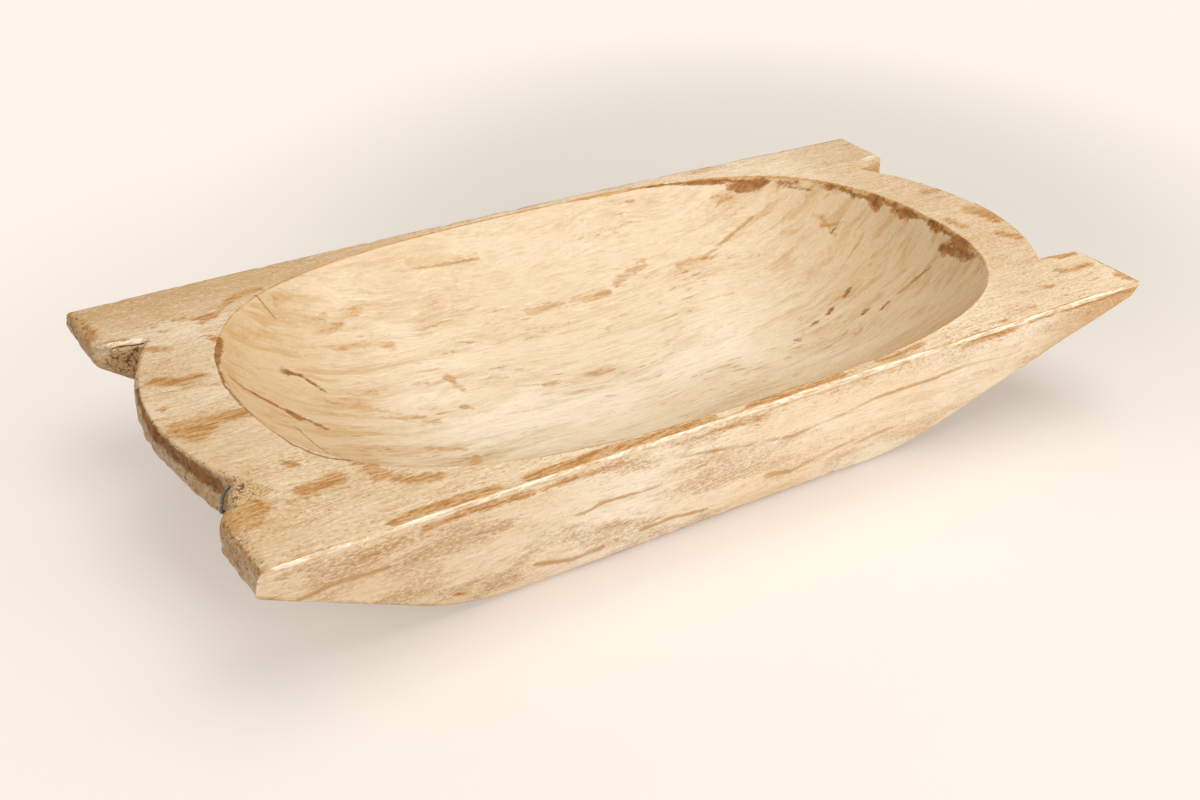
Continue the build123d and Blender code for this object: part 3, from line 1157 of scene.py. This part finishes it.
        shoulder, corner, flank = skin.rows[-1], wall(zero), wall(wear)
        for t in EDGE_STEPS:
            skin.lay(curve(shoulder, corner, flank, t), Zone.EDGE, edge=(t - 0.5) * 2 * wear)
        lower = self.foot_on_end + (self.foot_on_side - self.foot_on_end) * columns.lean
        top_line = np.maximum(self.pocket_skin, wear + 0.3)
        low_line = deep - (lower + self.pocket_skin - self.foot_on_end)
        depths = [wear, top_line - self.wall_step]
        for t in np.linspace(0, 1, self.wall_rings):
            inset = self.wall_step * (1 - 2 * t)
            depths.append(top_line + (low_line - top_line) * t + inset)
        depths += [low_line + self.wall_step, deep - lower]
        for depth in depths:
            skin.lay(wall(depth), Zone.WALL, edge=depth, foot=deep - depth)
        corner = wall(deep)
        to_spine = columns.spine - corner[:, :2]
        to_spine /= lengths(to_spine)[:, None]
        share = columns.lean[:, None]
        inwards = to_spine * share - columns.outward * (1 - share)
        inwards /= lengths(inwards)[:, None]
        tread = corner[:, :2] + inwards * lower[:, None]
        start, end = skin.rows[-1], raised(tread, self.under_height(tread))
        for t in ROUND_STEPS:
            skin.lay(curve(start, corner, end, t), Zone.FOOT, foot=(t - 0.5) * 4)
        spread = smooth(np.abs(columns.lip[:, 0]), *self.keel_reach)
        narrow = 1 - self.keel_narrowing + self.keel_narrowing * spread
        keel = columns.lip * np.stack([zero + 1, narrow], 1)
        plans = [tread + (keel - tread) * t for t in np.linspace(0, 1, self.under_rings)]
        plans += [keel + (columns.spine - keel) * t for t in np.linspace(0, 1, self.keel_rings + 1)[1:]]
        for plan in plans:
            foot = lengths(plan - tread) + 2
            skin.lay(raised(plan, self.under_height(plan)), Zone.UNDERSIDE, foot=foot)

    def sink_pocket(self, skin: Skin, places: np.ndarray) -> None:
        """Sinks the pocket of the cheek fill into the back left horn.

        Args:
            skin: The finished skin.
            places: Its places by ring and column, changed in place.
        """
        columns = skin.columns
        along = columns.along_cheek
        back_left = (columns.outline[:, 0] < 0) & (columns.outline[:, 1] > 0)
        inside = back_left & (along > self.pocket_inset) & (along < self.pocket_end)
        depth = self.height - places[:, :, 2]
        deep = self.height - self.under_height(columns.outline)
        within = (depth > self.pocket_skin) & (depth < deep - self.pocket_skin)
        sunk = within & inside & skin.within(Zone.WALL, Zone.WALL)
        way = np.array([self.cheek_flare, self.cheek_run, 0]) / self.cheek_length
        places[sunk] += way * self.pocket_depth

    def wear(self, skin: Skin, places: np.ndarray) -> dict[str, np.ndarray]:
        """Lays the drawn strokes on the skin.

        Args:
            skin: The finished skin.
            places: Its places by ring and column.

        Returns:
            One number for each place of the skin, by name.
        """
        shape = places.shape[:2]
        every = np.ones(shape, bool)
        x, y = places[:, :, 0], places[:, :, 1]
        wall = skin.within(Zone.EDGE, Zone.FOOT)
        long_side = skin.columns.on(Side.LONG_SIDE)
        where = {
            Face.HOLLOW: skin.within(Zone.HOLLOW, Zone.LIP) & every,
            Face.TOP: skin.within(Zone.LIP, Zone.EDGE) & every,
            Face.OUTLINE: every,
            Face.FRONT: wall & long_side & (y < 0),
            Face.LEFT_END: wall & ~long_side & (x < 0),
        }
        lines = (Mark.LINE, Mark.VEIN)
        masks = {mark.value: np.zeros(shape) for mark in Mark if mark not in lines}
        masks[Mark.LIP.value] += self.plain_lip_rub
        for mark in lines:
            masks[mark.value + "_gate"] = np.zeros(shape)
            masks[mark.value + "_mm"] = np.full(shape, self.line_far)
        for stroke in self.strokes:
            place = where[stroke.face]
            distance, signed = path_distance(places[place][:, stroke.face.value[1:]], stroke.path)
            if stroke.mark in lines:
                gate, line = (masks[stroke.mark.value + end] for end in ("_gate", "_mm"))
                gate[place] = np.where(distance < self.line_reach, stroke.width, gate[place])
                near = (distance < self.line_apart) & (distance < np.abs(line[place]))
                line[place] = np.where(near, signed, line[place])
                continue
            mask = masks[stroke.mark.value]
            amount = stroke.strength * np.clip(self.stroke_reach - distance / stroke.width, 0, 1)
            mask[place] = np.maximum(mask[place], amount)
        masks["end_grain"] = ~long_side * 1.0 * wall
        return masks

    def carve(self, place: Vector, zone: int, edge: float, rub: float, tear: float, end: float) -> float:
        """How far the hand-worked surface stands out from the drawn one.

        Args:
            place: Place in millimetres.
            zone: Zone of the skin.
            edge: Distance from the top edge.
            rub: Wear of the nearest edge.
            tear: How badly the place is torn.
            end: How far the place is end grain.

        Returns:
            Distance outwards, in millimetres.
        """
        broad, middle, small, shift = next(row for last, row in CARVING.items() if zone <= last.value)
        out = broad * wave(place, 95, 60, 60)
        out += middle * wave(place + Vector((300, 0, 0)), 34, 17, 17)
        out += small * wave(place, 11, 6, 6)
        out += shift
        out -= self.tear_depth * tear * (0.6 + 0.8 * wave(place, 4, 3, 3))
        nick = max(0.0, wave(place + Vector((0, 500, 0)), 9, 5, 5) - 0.05)
        nick *= 1 - float(smooth(place.x, *self.smooth_tip_from))
        out -= self.nick_depth * nick * max(rub, 0.4) * math.exp(-((edge / self.nick_reach) ** 2))
        lumps = 0.8 * wave(place, 9, 6, 6) + 0.35 * wave(place, 4, 2.6, 2.6) - 0.4
        out += end * lumps * float(smooth(place.x, 150, -150) * 0.6 + 0.4)
        return out

    def build(self, effects: Effects) -> None:
        """Builds and dresses the bowl.

        Args:
            effects: Shared node groups.
        """
        skin = Skin(self.columns())
        self.lay_inside(skin)
        self.lay_outside(skin)
        places = np.array(skin.rows)
        numbers = {name: np.array(getattr(skin, name)) for name in ("edge_mm", "foot_mm", "lip_mm")}
        numbers.update(self.wear(skin, places))
        rings, columns = places.shape[:2]
        numbers["zone"] = np.repeat(np.array(skin.zones)[:, None], columns, 1)
        self.sink_pocket(skin, places)
        mesh = bpy.data.meshes.new("carved_bowl")
        shell = bmesh.new()
        bmesh.ops.create_grid(shell, x_segments=columns - 1, y_segments=rings - 1, size=1)
        shell.to_mesh(mesh)
        sheet = np.zeros(len(mesh.vertices) * 3)
        mesh.vertices.foreach_get("co", sheet)
        share = (sheet.reshape(-1, 3)[:, :2] + 1) / 2
        column, ring = np.rint(share * (columns - 1, rings - 1)).astype(int).T
        mesh.vertices.foreach_set("co", places[ring, column].ravel())
        for name, values in numbers.items():
            layer = mesh.attributes.new(name, "FLOAT", "POINT")
            layer.data.foreach_set("value", values[ring, column].astype(np.float32))
        shell.clear()
        shell.from_mesh(mesh)
        bmesh.ops.remove_doubles(shell, verts=shell.verts, dist=0.001)
        bmesh.ops.recalc_face_normals(shell, faces=shell.faces)
        self.work_surface(shell)
        shell.to_mesh(mesh)
        shell.free()
        mesh.attributes.remove(mesh.attributes["zone"])
        mesh.transform(Matrix.Scale(MM, 4))
        mesh.materials.append(self.finish.material(effects))
        place_object("carved_bowl", mesh, "bowl_body")

    def work_surface(self, shell: bmesh.types.BMesh) -> None:
        """Moves the skin to its hand-worked shape, inside the box of the solid.

        Args:
            shell: The closed skin in millimetres.
        """
        names = ("zone", "edge_mm", "edge_rub", "tear", "end_grain")
        zone, edge, rub, tear, end = (shell.verts.layers.float[name] for name in names)
        low, high = (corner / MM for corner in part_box("bowl_body"))
        shell.normal_update()
        moved = []
        for vert in shell.verts:
            out = self.carve(vert.co, round(vert[zone]), vert[edge], vert[rub], vert[tear], vert[end])
            place = vert.co + vert.normal * out
            moved.append([min(max(value, a), b) for value, a, b in zip(place, low, high)])
        for vert, place in zip(shell.verts, moved):
            vert.co = place


@dataclass
class NotchFill:
    """A fill of sawdust and glue, grown from the shape of its solid. Sizes are in millimetres."""

    node: str
    spread: float
    swell: float
    grit: float = 0.5
    voxel: float = 0.45
    weld: float = 0.01

    def build(self, material: bpy.types.Material) -> None:
        """Builds and dresses the fill.

        Args:
            material: Material of the fills.
        """
        shell = bmesh.new()
        shell.from_mesh(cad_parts[self.node].data)
        bmesh.ops.remove_doubles(shell, verts=shell.verts, dist=self.weld * MM)
        block = bpy.data.meshes.new("fill_block")
        shell.to_mesh(block)
        mesh = self.even_mesh(block)
        shell.clear()
        shell.from_mesh(mesh)
        shell.normal_update()
        middle = sum((vert.co for vert in shell.verts), Vector()) / len(shell.verts)
        top = max(vert.co.z for vert in shell.verts)
        for vert in shell.verts:
            place = vert.co / MM
            lump = 0.5 * wave(place, 3.2, 3.2, 3.2) + 0.5 * wave(place, 1.3, 1.3, 1.3)
            aside = Vector((vert.co.x - middle.x, vert.co.y - middle.y, 0)).normalized()
            cap = float(smooth((top - vert.co.z) / MM, 5.0, 1.5)) * self.spread
            vert.co += vert.normal * MM * (self.grit * (lump - 0.3) + self.swell)
            vert.co += aside * cap * MM
            vert.co.z = min(vert.co.z, top)
        shell.to_mesh(mesh)
        shell.free()
        mesh.materials.append(material)
        place_object(self.node.replace("filler", "fill"), mesh, self.node)

    def even_mesh(self, block: bpy.types.Mesh) -> bpy.types.Mesh:
        """Remeshes a block into small even faces.

        Args:
            block: Closed mesh.

        Returns:
            The even mesh.
        """
        holder = bpy.data.objects.new("fill_holder", block)
        bpy.context.scene.collection.objects.link(holder)
        remesh = holder.modifiers.new("even", "REMESH")
        remesh.mode = "VOXEL"
        remesh.voxel_size = self.voxel * MM
        ready = holder.evaluated_get(bpy.context.evaluated_depsgraph_get())
        mesh = bpy.data.meshes.new_from_object(ready)
        bpy.data.objects.remove(holder)
        bpy.data.meshes.remove(block)
        mesh.materials.clear()
        return mesh


@dataclass
class WireStaple:
    """Bent wire driven into the end of the left rim. Sizes are in millimetres."""

    finish: DullWire
    bowl: CarvedBowl
    wire: float = 1.4
    from_notch: float = 24.6
    crown_height: float = 0.9
    leg: float = 8.0
    bend: float = 1.1
    upper: Pair = (4.6, -5.5)
    middle: Pair = (1.8, -11.0)
    lower: Pair = (0.0, -19.5)
    segments: int = 14
    bend_steps: int = 6

    def rim_plane(self) -> Matrix:
        """Finds where the staple lies.

        Returns:
            Frame of the rim's face there, with z outwards.
        """
        angle = self.bowl.notch_angle - self.from_notch / self.bowl.rim_radius
        out = Vector((-math.cos(angle), -math.sin(angle), 0))
        across = out.cross(Vector((0, 0, -1)))
        up = out.cross(across)
        origin = Vector((-self.bowl.rim_centre, 0, self.bowl.height)) + out * self.bowl.rim_radius
        return Matrix.Translation(origin) @ Matrix((across, up, out)).transposed().to_4x4()

    def build(self, effects: Effects) -> None:
        """Bends and dresses the staple.

        Args:
            effects: Shared node groups.
        """
        top = self.crown_height
        route = [
            Vector((*self.upper, -self.leg)),
            Vector((*self.upper, top)),
            Vector((*self.middle, top)),
            Vector((*self.lower, top)),
            Vector((*self.lower, -self.leg)),
        ]
        wire = bmesh.new()
        start = Matrix.Translation(route[0])
        bmesh.ops.create_circle(wire, segments=self.segments, radius=self.wire / 2, matrix=start)
        ring = list(wire.edges)
        here = route[0]
        for corner, after in zip(route[1:], route[2:]):
            way = (corner - here).normalized()
            turn = way.angle(after - corner)
            tangent = self.bend * math.tan(turn / 2)
            ring = self.run(wire, ring, corner - way * tangent - here)
            next_way = (after - corner).normalized()
            inwards = (next_way - way * next_way.dot(way)).normalized()
            centre = corner - way * tangent + inwards * self.bend
            ring = self.spin(wire, ring, centre, way.cross(next_way), turn)
            here = corner + next_way * tangent
        self.run(wire, ring, route[-1] - here)
        bmesh.ops.holes_fill(wire, edges=wire.edges, sides=0)
        bmesh.ops.recalc_face_normals(wire, faces=wire.faces)
        wire.verts.index_update()
        wire.faces.sort(key=partial(self.face_order, len(wire.verts)))
        bmesh.ops.transform(wire, matrix=Matrix.Scale(MM, 4) @ self.rim_plane(), verts=wire.verts)
        mesh = bpy.data.meshes.new("wire_staple")
        wire.to_mesh(mesh)
        wire.free()
        mesh.materials.append(self.finish.material(effects))
        place_object("wire_staple", mesh, "notch_staple")

    def face_order(self, count: int, face: bmesh.types.BMFace) -> int:
        """Number that sorts a face by its corners, because extruded faces come in a new order each run."""
        first, second, *_ = sorted(vert.index for vert in face.verts)
        return (first * count + second) * count + len(face.verts)

    def run(self, wire: bmesh.types.BMesh, ring: list, way: Vector) -> list:
        """Draws the wire's open end straight on.

        Args:
            wire: The wire so far.
            ring: Edges of its open end.
            way: How far to draw it.

        Returns:
            Edges of the new open end.
        """
        drawn = bmesh.ops.extrude_edge_only(wire, edges=ring)["geom"]
        verts = [part for part in drawn if isinstance(part, bmesh.types.BMVert)]
        bmesh.ops.translate(wire, verts=verts, vec=way)
        fresh = set(verts)
        edges = [part for part in drawn if isinstance(part, bmesh.types.BMEdge)]
        return [edge for edge in edges if fresh.issuperset(edge.verts)]

    def spin(self, wire: bmesh.types.BMesh, ring: list, centre: Vector, axis: Vector, turn: float) -> list:
        """Bends the wire's open end round a centre.

        Args:
            wire: The wire so far.
            ring: Edges of its open end.
            centre: Centre of the bend.
            axis: Axis of the bend.
            turn: Angle of the bend.

        Returns:
            Edges of the new open end.
        """
        verts = list(dict.fromkeys(vert for edge in ring for vert in edge.verts))
        spun = bmesh.ops.spin(
            wire, geom=verts + ring, cent=centre, axis=axis, angle=turn, steps=self.bend_steps
        )
        return [part for part in spun["geom_last"] if isinstance(part, bmesh.types.BMEdge)]


@dataclass(frozen=True)
class Softbox:
    """A square soft light that faces the bowl, in metres and watts."""

    name: str
    place: Triple
    size: float
    power: float

    def hang(self) -> None:
        """Hangs the light."""
        lamp = bpy.data.lights.new(self.name, "AREA")
        lamp.size = self.size
        lamp.energy = self.power
        holder = bpy.data.objects.new(self.name, lamp)
        bpy.context.scene.collection.objects.link(holder)
        holder.location = self.place
        holder.rotation_euler = (-Vector(self.place)).to_track_quat("-Z", "Y").to_euler()


@dataclass
class Studio:
    """Pale floor, soft light and the camera of the photograph, in metres."""

    # Grey of the painted shade around the bowl
    floor_near_shade: str = "E8DFD5"
    floor_far: str = "FFF5EB"
    floor_half: float = 6.0
    floor_roughness: float = 0.9
    floor_specular: float = 0.1
    floor_dim: float = 0.5
    # Where the painted shade around the bowl lies and how far it fades
    shade_halo_centre: Triple = (0.28, 0.19, 0.0)
    shade_halo_reach: Pair = (0.18, 0.44)
    glow_centre: Triple = (0.03, 0.0, 0.0)
    glow_reach: Pair = (0.15, 0.53)
    own_glow: float = 0.36
    sky: str = "FFFFFF"
    sky_light: float = 0.3
    lamps: tuple[Softbox, ...] = (
        Softbox("top_softbox", (0.15, -0.3, 1.35), 1.1, 14.0),
        Softbox("front_softbox", (0.3, -1.2, 0.45), 0.7, 6.0),
    )
    lens: float = 44.68
    sensor: float = 36.0
    sight: float = 50.0
    azimuth: float = -34.76
    elevation: float = 30.79
    roll: float = 2.49
    camera_place: Triple = (-0.3991, -0.5547, 0.4234)

    def build(self) -> None:
        """Builds the floor, the light and the camera."""
        self.lay_floor()
        self.light_sky()
        for lamp in self.lamps:
            lamp.hang()
        self.set_camera()

    def lay_floor(self) -> None:
        """Lays a wide floor that is a little greyer around the bowl, a painted shade, and that glows for the
        camera, most away from the bowl.
        """
        plane = bmesh.new()
        bmesh.ops.create_grid(plane, x_segments=1, y_segments=1, size=self.floor_half)
        mesh = bpy.data.meshes.new("floor")
        plane.to_mesh(mesh)
        plane.free()
        floor = bpy.data.objects.new("floor", mesh)
        bpy.context.scene.collection.objects.link(floor)
        material, graph, shader = new_material("pale_floor")
        place = graph.add("TexCoord").outputs["Object"]
        # Painted shade: the floor is greyer near the bowl
        halo, glow = (
            graph.step(graph.vector("DISTANCE", place, centre).outputs["Value"], *reach)
            for centre, reach in ((self.shade_halo_centre, self.shade_halo_reach), (self.glow_centre, self.glow_reach))
        )
        colour = graph.mix(halo, linear(self.floor_near_shade), linear(self.floor_far))
        dimmed = graph.mix(self.floor_dim, colour, linear(self.floor_near_shade))
        graph.feed(shader.inputs["Base Color"], dimmed)
        shader.inputs["Roughness"].default_value = self.floor_roughness
        shader.inputs["Specular IOR Level"].default_value = self.floor_specular
        shown = graph.add("Emission", {"Color": colour, "Strength": 1.0})
        share = graph.plus(self.own_glow, graph.times(glow, 1 - self.own_glow))
        seen = graph.times(graph.add("LightPath").outputs["Is Camera Ray"], share)
        both = graph.add("MixShader", {0: seen, 1: shader.outputs[0], 2: shown.outputs[0]})
        output = next(node for node in material.node_tree.nodes if node.type == "OUTPUT_MATERIAL")
        graph.feed(output.inputs["Surface"], both.outputs[0])
        mesh.materials.append(material)

    def light_sky(self) -> None:
        """Lights the scene evenly, and shows as a pale background."""
        world = bpy.data.worlds.new("studio")
        bpy.context.scene.world = world
        world.use_nodes = True
        world.node_tree.nodes.clear()
        graph = Graph(world.node_tree)
        path = graph.add("LightPath").outputs
        seen = graph.most(*(path[f"Is {kind} Ray"] for kind in ("Camera", "Glossy", "Transmission")))
        lit = graph.add("Background", {"Color": linear(self.sky), "Strength": self.sky_light})
        shown = graph.add("Background", {"Color": linear(self.floor_far), "Strength": 1.0})
        both = graph.add("MixShader", {0: seen, 1: lit.outputs[0], 2: shown.outputs[0]})
        graph.add("OutputWorld", {"Surface": both.outputs[0]})

    def set_camera(self) -> None:
        """Sets the camera at the photograph's viewing angle."""
        a, e, r = (math.radians(angle) for angle in (self.azimuth, self.elevation, self.roll))
        back = Vector((math.sin(a) * math.cos(e), -math.cos(a) * math.cos(e), math.sin(e)))
        level = Vector((0, 0, 1)).cross(back).normalized()
        upright = back.cross(level)
        right = level * math.cos(r) + upright * math.sin(r)
        data = bpy.data.cameras.new("camera")
        data.lens = self.lens
        data.sensor_width = self.sensor
        data.clip_end = self.sight
        camera = bpy.data.objects.new("camera", data)
        bpy.context.scene.collection.objects.link(camera)
        turn = Matrix((right, back.cross(right), back)).transposed().to_4x4()
        camera.matrix_world = Matrix.Translation(self.camera_place) @ turn
        bpy.context.scene.camera = camera


# Worn patches, with a painted highlight along the front edge, by surface and kind: width, strength and the
# corners of each drawn path
PATCHES: dict[tuple[Face, Mark], tuple[tuple[Any, ...], ...]] = {
    (Face.TOP, Mark.RUB): (
        (10.5, 1.15, (-239, -11), (-237, -15), (-231, -12)),
        (7.5, 1.1, (-232, -11), (-221, -10), (-209, -12)),
        (3.4, 0.9, (-241, 9), (-240, 8)),
        (6.0, 0.75, (-228, 63), (-221, 58)),
        (6.5, 0.8, (-235, 33), (-226, 26), (-216, 29)),
        (5.4, 0.55, (-221, 82), (-215, 76)),
        (4.1, 0.65, (-208, 86), (-196, 80)),
        (4.7, 0.95, (-197, 77), (-190, 81)),
        (3.8, 1.0, (-185, 86), (-177, 92), (-168, 96), (-160, 97)),
        (6.8, 0.75, (-247, 100), (-248, 87)),
        (4.1, 0.75, (-242, 79), (-235, 77)),
        (3.4, 0.75, (-199, 64), (-198, 57)),
        (3.4, 0.75, (-212, -53), (-210, -62)),
        (6.8, 1.0, (-214, -82), (-207, -80), (-198, -80)),
        (6.8, 1.0, (-184, -79), (-181, -86)),
        (5.4, 1.0, (-178, -92), (-170, -97), (-162, -99)),
        (8.5, 1.05, (-246, -82), (-234, -83)),
        (6.8, 0.85, (-246, -89), (-238, -90)),
        (4.0, 1.2, (-193, -119), (-181, -118), (-168, -118), (-145, -118)),
        (4.0, 1.2, (-130, -118), (-98, -118), (-77, -118), (-57, -119), (-35, -119)),
        (3.2, 1.0, (-15, -120), (0, -120), (42, -118)),
        (3.6, 1.1, (66, -117), (80, -117), (98, -114)),
        (3.0, 0.85, (147, -117), (153, -118)),
        (4.1, 0.6, (196, -100), (205, -103)),
        (4.1, 0.85, (221, -91), (228, -95)),
        (4.1, 0.85, (236, -94), (243, -93)),
        (5.4, 1.0, (246, -112), (249, -116)),
        (4.1, 0.95, (229, -75), (239, -79), (246, -80)),
        (8.1, 1.0, (240, -8), (245, -15), (242, -24)),
        (6.1, 0.95, (229, -40), (234, -48)),
        (6.8, 0.65, (217, -11), (218, -25)),
        (4.7, 0.65, (234, 26), (243, 24)),
    ),
    (Face.TOP, Mark.PALE): (
        (2.5, 0.8, (-246, 77), (-228, 74)),
        (4.0, 0.6, (238, 82), (246, 84)),
    ),
    (Face.HOLLOW, Mark.TEAR): (
        (3.2, 0.95, (140, 97), (151, 92), (160, 88)),
        (3.0, 0.9, (161, 89), (170, 83), (178, 77)),
        (2.0, 0.85, (189, 67), (196, 56)),
        (2.5, 0.9, (198, 51), (198, 48)),
        (3.6, 1.0, (203, 37), (203, 31)),
        (2.8, 1.0, (206, 22), (207, 10)),
        (2.8, 1.0, (208, -6), (207, -14)),
        (5.2, 1.0, (205, -30), (202, -38)),
        (3.0, 0.95, (201, -24), (199, -40), (197, -52)),
        (2.0, 1.0, (158, 4), (163, 6)),
        (1.7, 0.9, (151, -18), (157, -16)),
        (1.7, 0.9, (159, -24), (167, -22)),
        (1.6, 0.8, (113, -10), (119, -6)),
        (1.8, 0.95, (142, -1), (146, 1)),
        (1.7, 0.85, (129, -3), (133, -2)),
        (1.6, 0.9, (180, 44), (184, 45)),
        (1.6, 0.85, (183, -23), (192, -26)),
        (1.7, 1.5, (-195, 58), (-203, 42), (-208, 27), (-210, 16)),
        (1.6, 1.2, (-202, 31), (-193, 31), (-184, 29), (-178, 27)),
        (2.6, 1.2, (-176, 26), (-173, 22)),
        (1.6, 1.1, (-172, 24), (-168, 22), (-163, 16)),
        (1.8, 0.95, (-168, 56), (-158, 54), (-153, 49), (-149, 44)),
        (1.5, 1.15, (87, 113), (108, 109), (141, 99), (165, 87)),
        (1.2, 0.85, (165, 87), (195, 58), (205, 30), (208, 0), (206, -25), (201, -42)),
    ),
    (Face.HOLLOW, Mark.RUB): (
        (3.0, 0.65, (128, 97), (139, 93)),
        (2.0, 0.75, (169, 7), (173, 8)),
        (2.5, 0.9, (-33, 26), (-16, 23)),
        (2.0, 0.85, (-50, 6), (-44, 6)),
        (3.0, 0.7, (-49, -38), (-39, -42)),
        (2.2, 0.8, (51, -39), (59, -39)),
        (2.0, 0.65, (-19, -12), (-14, -12)),
        (3.0, 1.0, (88, 73), (97, 73)),
        (2.0, 0.85, (97, 73), (108, 72)),
        (3.6, 0.85, (-15, 73), (15, 73), (38, 72)),
        (3.2, 0.85, (45, 75), (57, 79), (69, 80)),
        (3.0, 0.8, (-119, -7), (-108, -11), (-103, -14)),
        (3.5, 0.8, (-102, -25), (-109, -34)),
        (2.2, 0.8, (181, 55), (180, 40)),
        (1.8, 0.75, (190, 28), (170, 22)),
        (3.0, 0.6, (64, 56), (70, 56)),
        (6.0, 0.5, (-132, 69), (-110, 74), (-102, 69)),
        (6.0, 0.45, (-139, 78), (-113, 86)),
        (6.0, 0.55, (-138, 34), (-121, 26), (-103, 16)),
        (4.0, 0.75, (-80, 46), (-77, 36)),
        (2.5, 0.95, (-84, 24), (-79, 22)),
    ),
    (Face.FRONT, Mark.RUB): (
        (3.5, 0.95, (-179, 73), (-171, 74), (-157, 75), (-143, 74), (-129, 73)),
        (3.8, 0.95, (-124, 74), (-114, 73), (-101, 73), (-85, 74)),
        (2.5, 0.95, (-63, 75), (-47, 74), (-23, 74), (-6, 74)),
        (2.5, 1.0, (2, 76), (17, 75), (35, 75), (63, 75)),
        (3.5, 1.0, (120, 75), (137, 76), (156, 77)),
        (2.5, 0.95, (167, 77), (184, 77)),
        (2.5, 1.0, (190, 77), (206, 77), (233, 76), (249, 75)),
        (4.0, 0.6, (-193, 70), (-190, 70)),
        (4.0, 0.6, (-206, 67), (-200, 67)),
        (2.0, 0.7, (-159, 16), (-143, 15)),
    ),
    (Face.OUTLINE, Mark.EDGE): (
        (60.0, 0.45, (-220, -123), (250, -123)),
        (20.0, 0.5, (-60, 123), (120, 122), (245, 119)),
        (12.0, 0.35, (-240, 118), (-60, 123)),
        (14.0, 0.35, (247, 20), (249, -10), (240, -45)),
    ),
    # Pale bare fibre, with a painted highlight along the front edge
    (Face.OUTLINE, Mark.BRIGHT): (
        (10.0, 1.0, (-240, -122), (250, -122)),
        (6.0, 0.8, (-228, 74), (-246, 78)),
    ),
    (Face.OUTLINE, Mark.LIP): (
        (30.0, 0.65, (60, 116), (87, 113), (128, 102), (178, 77), (203, 34), (208, -10), (197, -55)),
        (16.0, 0.6, (-150, -116), (120, -116)),
    ),
    (Face.LEFT_END, Mark.TEAR): (
        (3.0, 1.5, (31, 79), (10, 78)),
        (5.4, 1.5, (10, 77), (-11, 76), (-32, 75), (-49, 73)),
    ),
}

# Cracks and veins by surface and kind: width and the corners of each drawn path
LINES: dict[tuple[Face, Mark], tuple[tuple[Any, ...], ...]] = {
    (Face.TOP, Mark.VEIN): (
        (0.9, (-230, 104), (-221, 103)),
        (0.9, (-209, 91), (-194, 89)),
    ),
    (Face.HOLLOW, Mark.VEIN): (
        (1.4, (206, 9), (199, 10), (188, 12)),
        (1.4, (200, -25), (191, -25), (178, -23)),
        (1.2, (186, 44), (178, 51)),
        (1.0, (108, 72), (128, 76), (143, 78)),
        (0.6, (-73, 103), (-47, 103), (-33, 103)),
        (1.8, (-208, 27), (-210, 16), (-210, 7), (-208, -12), (-206, -25)),
    ),
    (Face.TOP, Mark.LINE): (
        (0.8, (-210, 14), (-210, -6), (-207, -24), (-204, -45), (-199, -58), (-193, -67), (-185, -73)),
    ),
    (Face.HOLLOW, Mark.LINE): (
        (0.6, (-178, 9), (-176, -1), (-174, -8)),
        (0.6, (-164, 90), (-160, 85)),
    ),
    (Face.FRONT, Mark.VEIN): (
        (1.8, (-229, 54), (-220, 56), (-211, 56), (-196, 55)),
        (1.3, (-175, 57), (-159, 57), (-144, 56)),
        (2.2, (-144, 56), (-137, 51), (-126, 47), (-118, 46)),
        (1.4, (-118, 46), (-96, 45), (-87, 48), (-62, 46), (-46, 46), (-34, 49)),
        (1.5, (-50, 63), (-19, 56), (21, 48), (48, 51), (71, 56), (102, 56)),
        (1.4, (102, 56), (129, 58), (149, 56), (171, 55)),
        (2.2, (18, 21), (34, 18), (44, 22), (60, 25), (77, 23), (100, 27)),
        (1.5, (-53, 15), (-41, 16), (-21, 12)),
        (1.8, (-113, 17), (-95, 11), (-81, 12)),
    ),
}


def worn_places() -> tuple[Stroke, ...]:
    """Gathers the worn places that the photograph shows.

    Returns:
        Strokes in millimetres.
    """
    strokes = []
    for (face, mark), rows in PATCHES.items():
        strokes += [Stroke(face, mark, width, strength, tuple(path)) for width, strength, *path in rows]
    for (face, mark), rows in LINES.items():
        strokes += [Stroke(face, mark, width, 1.0, tuple(path)) for width, *path in rows]
    return tuple(strokes)


def main() -> None:
    """Builds the studio and the pieces, in order."""
    logging.basicConfig(level=logging.INFO, format="%(name)s: %(message)s")
    bpy.context.scene.view_settings.view_transform = "Standard"
    effects = Effects()
    effects.build()
    Studio().build()
    bowl = CarvedBowl(WashedWood(), worn_places())
    bowl.build(effects)
    fill_material = GrittyFill().material(effects)
    for fill in (NotchFill("front_notch_filler", 2.2, 0.3), NotchFill("back_notch_filler", 0.0, 1.7)):
        fill.build(fill_material)
    WireStaple(DullWire(), bowl).build(effects)


if __name__ == "__main__":
    main()
